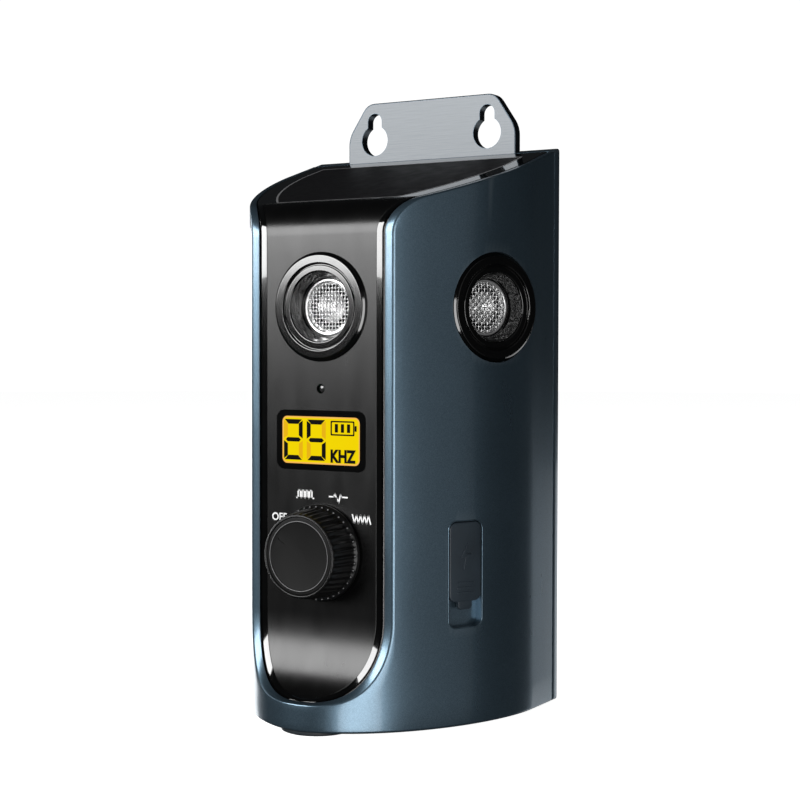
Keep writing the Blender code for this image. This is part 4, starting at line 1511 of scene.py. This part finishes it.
@dataclass
class Marks:
    """White signs round the knob: the off word and three wave shapes."""

    turn: Matrix
    looks: Finishes
    reach: float = 20.5
    stroke: float = 0.5
    angles: tuple[float, float, float, float] = (-56.7, -17.6, 20.6, 53.8)

    def stroke_line(self, points: Outline, centre: tuple[float, float]) -> list[Object]:
        """Line of thin bars.

        Args:
            points: The line's corners round its centre.
            centre: Where the centre is.

        Returns:
            The bars.
        """
        bars = []
        for (x0, y0), (x1, y1) in zip(points, points[1:]):
            along = Vector((x1 - x0, y1 - y0))
            length, angle = along.length + self.stroke, math.atan2(along.y, along.x)
            spot = Vector((centre[0] + (x0 + x1) / 2, centre[1] + (y0 + y1) / 2, 0)) * MM
            turn = self.turn @ Matrix.Translation(spot) @ Matrix.Rotation(angle, 4, "Z")
            bars.append(slab("bar", rounded_box(length, self.stroke, self.stroke * 0.3), -0.1, 0.01, turn))
        return bars

    def spot(self, angle: float) -> tuple[float, float]:
        """Place of a sign at an angle from straight up, in degrees."""
        return self.reach * math.sin(math.radians(angle)), self.reach * math.cos(math.radians(angle))

    def build(self) -> None:
        """Build and dress the signs."""
        off, square, pulse, saw = (self.spot(a) for a in self.angles)
        box = [(-3.6, -1.3), (-3.1, -1.3)]
        for k in range(4):
            left = -3.1 + 1.6 * k
            box += [(left, 1.3), (left + 0.95, 1.3), (left + 0.95, -1.3), (left + 1.6, -1.3)]
        spike = [(-3.6, 0), (-1.8, 0), (-1.3, 1.1), (-0.8, -0.4), (-0.4, -0.4)]
        spike += [(0.2, -1.9), (0.9, 0.9), (1.3, 0), (3.6, 0)]
        zigzag = [(-3.6 + 0.8 * k, 1.4 if k % 2 == 0 else -1.3) for k in range(10)]
        bars = []
        for sign, centre in ((box, square), (spike, pulse), (zigzag, saw)):
            bars += self.stroke_line(sign, centre)
        dress(merged("wave_signs", bars), self.looks.ink)
        place = self.turn @ Matrix.Translation(Vector((off[0] - 3.1, off[1] - 1.35, 0.0)) * MM)
        dress(lettering("OFF", place, 2.7, 6.2), self.looks.ink)


@dataclass
class Knob:
    """Fluted mode knob with a satin cap, pale rings and beads of painted highlight, and a pointer notch."""

    turn: Matrix
    looks: Finishes
    radius: float = 16.5
    face: float = 13.8
    high: float = 13.3
    flutes: int = 40
    flute_depth: float = 0.5
    pointer: float = 56.0
    # Reach of the pale beads that stand in for highlights on the flute ends.
    highlight_bead_reach: float = 15.75

    def build_grip(self) -> Object:
        """Fluted wall of the knob.

        Returns:
            The grip.
        """
        r, face, high = self.radius, self.face, self.high
        levels = [
            (r - 0.3, 0.0, 0.5), (r, 0.0, 0.8), (r, 0.0, 1.7), (r - 0.35, 0.0, 2.1), (r - 0.9, 0.4, 2.5),
        ]
        levels += [(r - 1.15, 0.9, 3.1), (r - 1.3, 1.0, 4.0), (face + 0.8, 1.0, high - 2.0)]
        levels += [(face + 0.6, 0.8, high - 1.2), (face + 0.4, 0.4, high - 0.6)]
        levels += [(face + 0.15, 0.1, high - 0.25), (face - 0.1, 0.0, high - 0.06)]
        levels += [
            (face - 0.4, 0.0, high - 0.02), (face - 0.6, 0.0, high - 0.2), (face - 0.75, 0.0, high - 0.8),
        ]
        steps = self.flutes * 10
        lines = []
        for radius, share, z in levels:
            ring = []
            for k in range(steps):
                a = 2 * math.pi * k / steps
                wave = abs(math.cos(self.flutes * a / 2)) ** 3
                at = radius - share * self.flute_depth * (1 - wave)
                ring.append((at * math.cos(a), at * math.sin(a), z))
            lines.append(ring)
        bm = bmesh.new()
        add_strip(bm, lines, closed=True)
        return mesh_piece(bm, "knob_grip", self.turn, 50)

    def build(self) -> None:
        """Build and dress the knob."""
        looks, high, r = self.looks, self.high, self.face - 0.75
        dress(self.build_grip(), looks.grip, "mode_knob", body=Body.KNOB)
        cap = [(0, high - 0.3), (r - 1.75, high - 0.3), (r - 1.6, high - 0.12), (r - 1.4, high - 0.12)]
        cap += [
            (r - 1.25, high - 0.3), (r - 0.3, high - 0.3), (r, high - 0.4), (r, high - 1.4), (0, high - 1.4),
        ]
        disc = lathe("knob_face", rounded(cap, 0.06, 2), self.turn, 128)
        a = math.radians(90 + self.pointer)
        reach = Matrix.Translation(Vector((r - 4.6, 0, 0)) * MM)
        place = self.turn @ Matrix.Rotation(a, 4, "Z") @ reach
        notch = slab("hole", rounded_box(3.6, 0.7, 0.34), high - 0.55, high + 1, place)
        dress(cut(disc, notch), looks.cap, "knob_cap", body=Body.KNOB)
        # Pale rings on the grip's top edge and on the cap's step: painted highlights.
        lines = []
        for radius in (self.face - 0.35, self.face - 2.1):
            turns = np.linspace(0, 5.5, 8)
            tube = [(radius + 0.1 * math.cos(t), high - 0.12 + 0.1 * math.sin(t)) for t in turns]
            lines.append(lathe("knob_highlight_ring", tube, self.turn, 128))
        dress(merged("knob_highlight_rings", lines), looks.line, body=Body.KNOB)
        # Pale beads at the foot of the flutes: painted highlights of the flute ends.
        bm = bmesh.new()
        for k in range(self.flutes):
            a = 2 * math.pi * k / self.flutes
            spot = Vector((math.cos(a) * self.highlight_bead_reach, math.sin(a) * self.highlight_bead_reach, 2.75))
            bmesh.ops.create_icosphere(bm, subdivisions=2, radius=0.28, matrix=Matrix.Translation(spot))
        dress(mesh_piece(bm, "knob_highlight_beads", self.turn), looks.line, body=Body.KNOB)


# Charging port ------------------------------------------------------------------------------


@dataclass
class Port:
    """Pocket in the right side with its rubber cover."""

    turn: Matrix
    looks: Finishes
    width: float = 13.5
    height: float = 36.0
    corner: float = 3.0
    depth: float = 3.2
    cover_height: float = 27.0
    cover_thick: float = 2.2
    gap: float = 0.3
    lip: float = 0.22

    def build_pocket(self) -> None:
        """Lined pocket behind the opening."""
        around = rounded_box(self.width + 2, self.height + 2, self.corner + 1)
        inside = rounded_box(self.width + 0.02, self.height + 0.02, self.corner)
        outer = slab("port_pocket", around, -self.depth - 1, -0.9, self.turn)
        inner = slab("hole", inside, -self.depth, 2, self.turn)
        dress(cut(outer, inner), self.looks.paint)
        r = self.lip
        bm = bmesh.new()
        lines = []
        for k in range(9):
            a = math.pi * k / 8
            grow = r - r * math.cos(a)
            outline = rounded_box(self.width + 2 * grow, self.height + 2 * grow, self.corner + grow)
            lines.append([(x, y, r * 0.8 * math.sin(a) - 0.12) for x, y in outline])
        add_strip(bm, lines, closed=True)
        dress(mesh_piece(bm, "port_lip", self.turn), self.looks.paint)

    def build_cover(self) -> None:
        """Rubber cover with a raised charge sign, grip ridges and a finger tab."""
        top = self.height / 2 - self.gap
        middle = top - self.cover_height / 2
        wide = self.width - 2 * self.gap
        low = top - self.cover_height
        cover = rounded_box(wide, self.cover_height, 2.6, (0, middle))
        tab = rounded_box(5.6, 4.6, 1.2, (0, low - 0.4))
        parts = [slab("cover_body", cover, -self.cover_thick, 0.0, self.turn, 0.45)]
        parts.append(slab("tab", tab, -1.7, -0.2, self.turn, 0.3))
        bolt = [(0.9, 4.6), (-2.3, -0.6), (-0.3, -0.6), (-0.9, -4.6), (2.3, 0.7), (0.3, 0.7)]
        parts.append(slab("bolt", [(x, y + middle + 2.0) for x, y in bolt], -0.2, 0.45, self.turn, 0.15))
        for k in range(3):
            ridge = rounded_box(7.0, 0.7, 0.3, (0, low + 3.0 + 1.7 * k))
            parts.append(slab("ridge", ridge, -0.2, 0.22, self.turn, 0.12))
        dress(merged("port_flap", parts), self.looks.flap, "port_cover", body=Body.FLAP)

    def build(self) -> None:
        """Build and dress the pocket and its cover."""
        self.build_pocket()
        self.build_cover()


# Studio -------------------------------------------------------------------------------------


@dataclass
class Studio:
    """Pale floor, soft light and the camera."""

    centre: Point = (0.0, 0.0, 0.1)
    camera_spot: Point = (0.31038, -0.48717, 0.1309)
    azimuth: float = 31.42
    pitch: float = 1.97
    roll: float = 0.11
    lens: float = 73.1
    lights: tuple[tuple, ...] = (
        ("key", -33.0, 17.8, 1.5, (1.0, 0.72), 25.0),
        ("left_low", -128.0, -8.0, 1.5, (0.9, 0.8), 7.0),
        ("left_high", -95.0, 12.0, 1.5, (0.6, 0.5), 4.0),
        ("right_strip", 37.0, -9.0, 1.6, (0.85, 1.3), 17.5),
        ("right_wall", 78.0, 0.0, 1.6, (1.5, 1.5), 1.7),
        ("rear_low", 165.5, -20.5, 1.6, (0.6, 0.9), 2.0),
    )

    def floor(self) -> None:
        """Pale disc under the object, unseen by shiny faces."""
        bm = bmesh.new()
        bmesh.ops.create_circle(bm, cap_ends=True, segments=96, radius=4000)
        shade = Shade("floor")
        tone = shade.ramp(shade.noise(60.0), "Fac", *NOISE_SPAN, (grey(0.9), grey(0.93)))
        shade.tint(tone)
        shade.relief(shade.noise(3.0), "Fac", 0.02)
        shade.set(Roughness=0.9, Specular_IOR_Level=0.0)
        shade.set(Emission_Color=grey(1.0), Emission_Strength=0.97)
        ground = mesh_piece(bm, "floor")
        ground.data.materials.append(shade.made)
        ground.visible_glossy = ground.visible_diffuse = ground.visible_shadow = False

    def soft_light(
        self, name: str, azimuth: float, elevation: float, far: float, size: tuple[float, float], power: float
    ) -> None:
        """Rectangular light aimed at the object.

        Args:
            name: The light's name.
            azimuth: Its direction from the object, in degrees from the front toward the right.
            elevation: Its height above the horizon in degrees.
            far: Its distance in metres.
            size: Its width and height in metres.
            power: Its power in watts.
        """
        data = bpy.data.lights.new(name, "AREA")
        data.shape, data.energy = "RECTANGLE", power
        data.size, data.size_y = size
        lamp = new_object(name, data)
        a, e = math.radians(azimuth), math.radians(elevation)
        away = Vector((math.sin(a) * math.cos(e), -math.cos(a) * math.cos(e), math.sin(e)))
        lamp.location = Vector(self.centre) + away * far
        lamp.rotation_euler = away.to_track_quat("Z", "Y").to_euler()
        lamp.visible_camera = False

    def backdrop(self) -> None:
        """White to the eye and nearly dark to the object's faces."""
        world = bpy.data.worlds.new("studio")
        bpy.context.scene.world = world
        world.use_nodes = True
        tree = world.node_tree
        back = tree.nodes["Background"]
        path = tree.nodes.new("ShaderNodeLightPath")
        mix = tree.nodes.new("ShaderNodeMixShader")
        white = tree.nodes.new("ShaderNodeBackground")
        back.inputs["Color"].default_value = (0.012, 0.013, 0.014, 1)
        white.inputs["Color"].default_value = (1, 1, 1, 1)
        white.inputs["Strength"].default_value = 1.05
        tree.links.new(path.outputs["Is Camera Ray"], mix.inputs[0])
        tree.links.new(back.outputs[0], mix.inputs[1])
        tree.links.new(white.outputs[0], mix.inputs[2])
        tree.links.new(mix.outputs[0], tree.nodes["World Output"].inputs["Surface"])

    def camera(self) -> None:
        """Camera in front of the object's right side."""
        phi, psi, rho = (math.radians(v) for v in (self.azimuth, self.pitch, self.roll))
        ahead = Vector((-math.sin(phi) * math.cos(psi), math.cos(phi) * math.cos(psi), -math.sin(psi)))
        right = Vector((math.cos(phi), math.sin(phi), 0))
        up = right.cross(ahead)
        side = right * math.cos(rho) + up * math.sin(rho)
        data = bpy.data.cameras.new("camera")
        data.lens, data.clip_start, data.clip_end = self.lens, 0.01, 50
        eye = new_object("camera", data)
        look = Matrix((side, side.cross(ahead), -ahead)).transposed().to_4x4()
        eye.matrix_world = Matrix.Translation(self.camera_spot) @ look
        bpy.context.scene.camera = eye

    def build(self) -> None:
        """Set the stage."""
        self.floor()
        for light in self.lights:
            self.soft_light(*light)
        self.backdrop()
        self.camera()
        bpy.context.scene.view_settings.view_transform = "Standard"


# Assembly -----------------------------------------------------------------------------------


@dataclass
class Hardware:
    """Carried-over CAD nodes and the finish of each."""

    looks: Finishes

    def build(self) -> None:
        """Dress every CAD node that no piece stands for."""
        looks = self.looks
        wanted = {
            "rear_gasket": looks.rubber,
            "knob_shaft": looks.screw,
            "rotary_switch": Plastic("switch_blue", (0.02, 0.09, 0.25), 0.4).make(),
            "indicator_led": Plastic("indicator", (0.02, 0.02, 0.02), 0.15, coat=0.5).make(),
            "port_cover_anchor": looks.rubber,
            "usb_socket": looks.steel,
            "charge_board": Plastic("board_green", (0.01, 0.12, 0.05), 0.35, 0.8).make(),
            "battery_tray": looks.satin,
        }
        wanted["main_board"] = wanted["charge_board"]
        cell = Plastic("cell_wrap", (0.02, 0.12, 0.3), 0.3).make()
        for side in Side:
            wanted[f"battery_cell_{side.name.lower()}"] = cell
            wanted[f"hanger_screw_{side.name.lower()}"] = looks.screw
        for number in range(1, 5):
            wanted[f"case_screw_{number}"] = looks.screw
        for name, look in wanted.items():
            node = bpy.data.objects[name]
            node.data.materials.clear()
            node.data.materials.append(look)
            shaded(node, 30)


@dataclass
class Repeller:
    """The whole object."""

    form: Form = field(default_factory=Form)
    looks: Finishes = field(default_factory=Finishes)
    speaker_y: float = 3.9
    speaker_turn: float = 21.5
    port_y: float = -8.7
    port_z: float = 53.2

    def panel_frame(self, node: str) -> Matrix:
        """Local frame on the panel at a node's middle."""
        middle = middle_mm(node)
        return facing((middle.x, self.form.panel_y, middle.z), (0, -1, 0))

    def build(self) -> None:
        """Build every sub-assembly in order."""
        form, looks = self.form, self.looks
        level = middle_mm("speaker_bezel_front").z
        seats = {"front": self.panel_frame("speaker_bezel_front")}
        for side in Side:
            turn = math.radians(self.speaker_turn)
            seats[side.name.lower()] = form.side_frame(self.speaker_y, level, side, turn, -1.6)
        angle = form.side_angle(self.port_y)
        port = Port(form.side_frame(self.port_y, self.port_z, Side.RIGHT, angle), looks)
        for name, seat in seats.items():
            Speaker(name, seat, looks).build()
        LOG.info("speakers built")
        opening = (port.width, port.height, port.corner)
        Shell(form, looks).build([seats["left"], seats["right"]], 18.9, port.turn, opening)
        LOG.info("case built")
        display = Display(self.panel_frame("display_window"), looks)
        throat = drill(17.0, 5, -6, seats["front"], 96)
        pane = slab("hole", rounded_box(36.5, 20.5, 3.05), -6, 5, display.turn)
        led = drill(1.65, 3, -4, self.panel_frame("indicator_led"), 48)
        Insert(form, looks).build([throat, pane, led])
        LOG.info("insert built")
        display.build()
        panel = self.panel_frame("mode_knob")
        Marks(panel, looks).build()
        Knob(panel, looks).build()
        LOG.info("panel built")
        port.build()
        Hanger(looks).build()
        Hardware(looks).build()
        LOG.info("hardware dressed")


def main() -> None:
    """Build the object and its studio."""
    logging.basicConfig(level=logging.INFO, format="%(name)s %(message)s")
    Repeller().build()
    Studio().build()


if __name__ == "__main__":
    main()
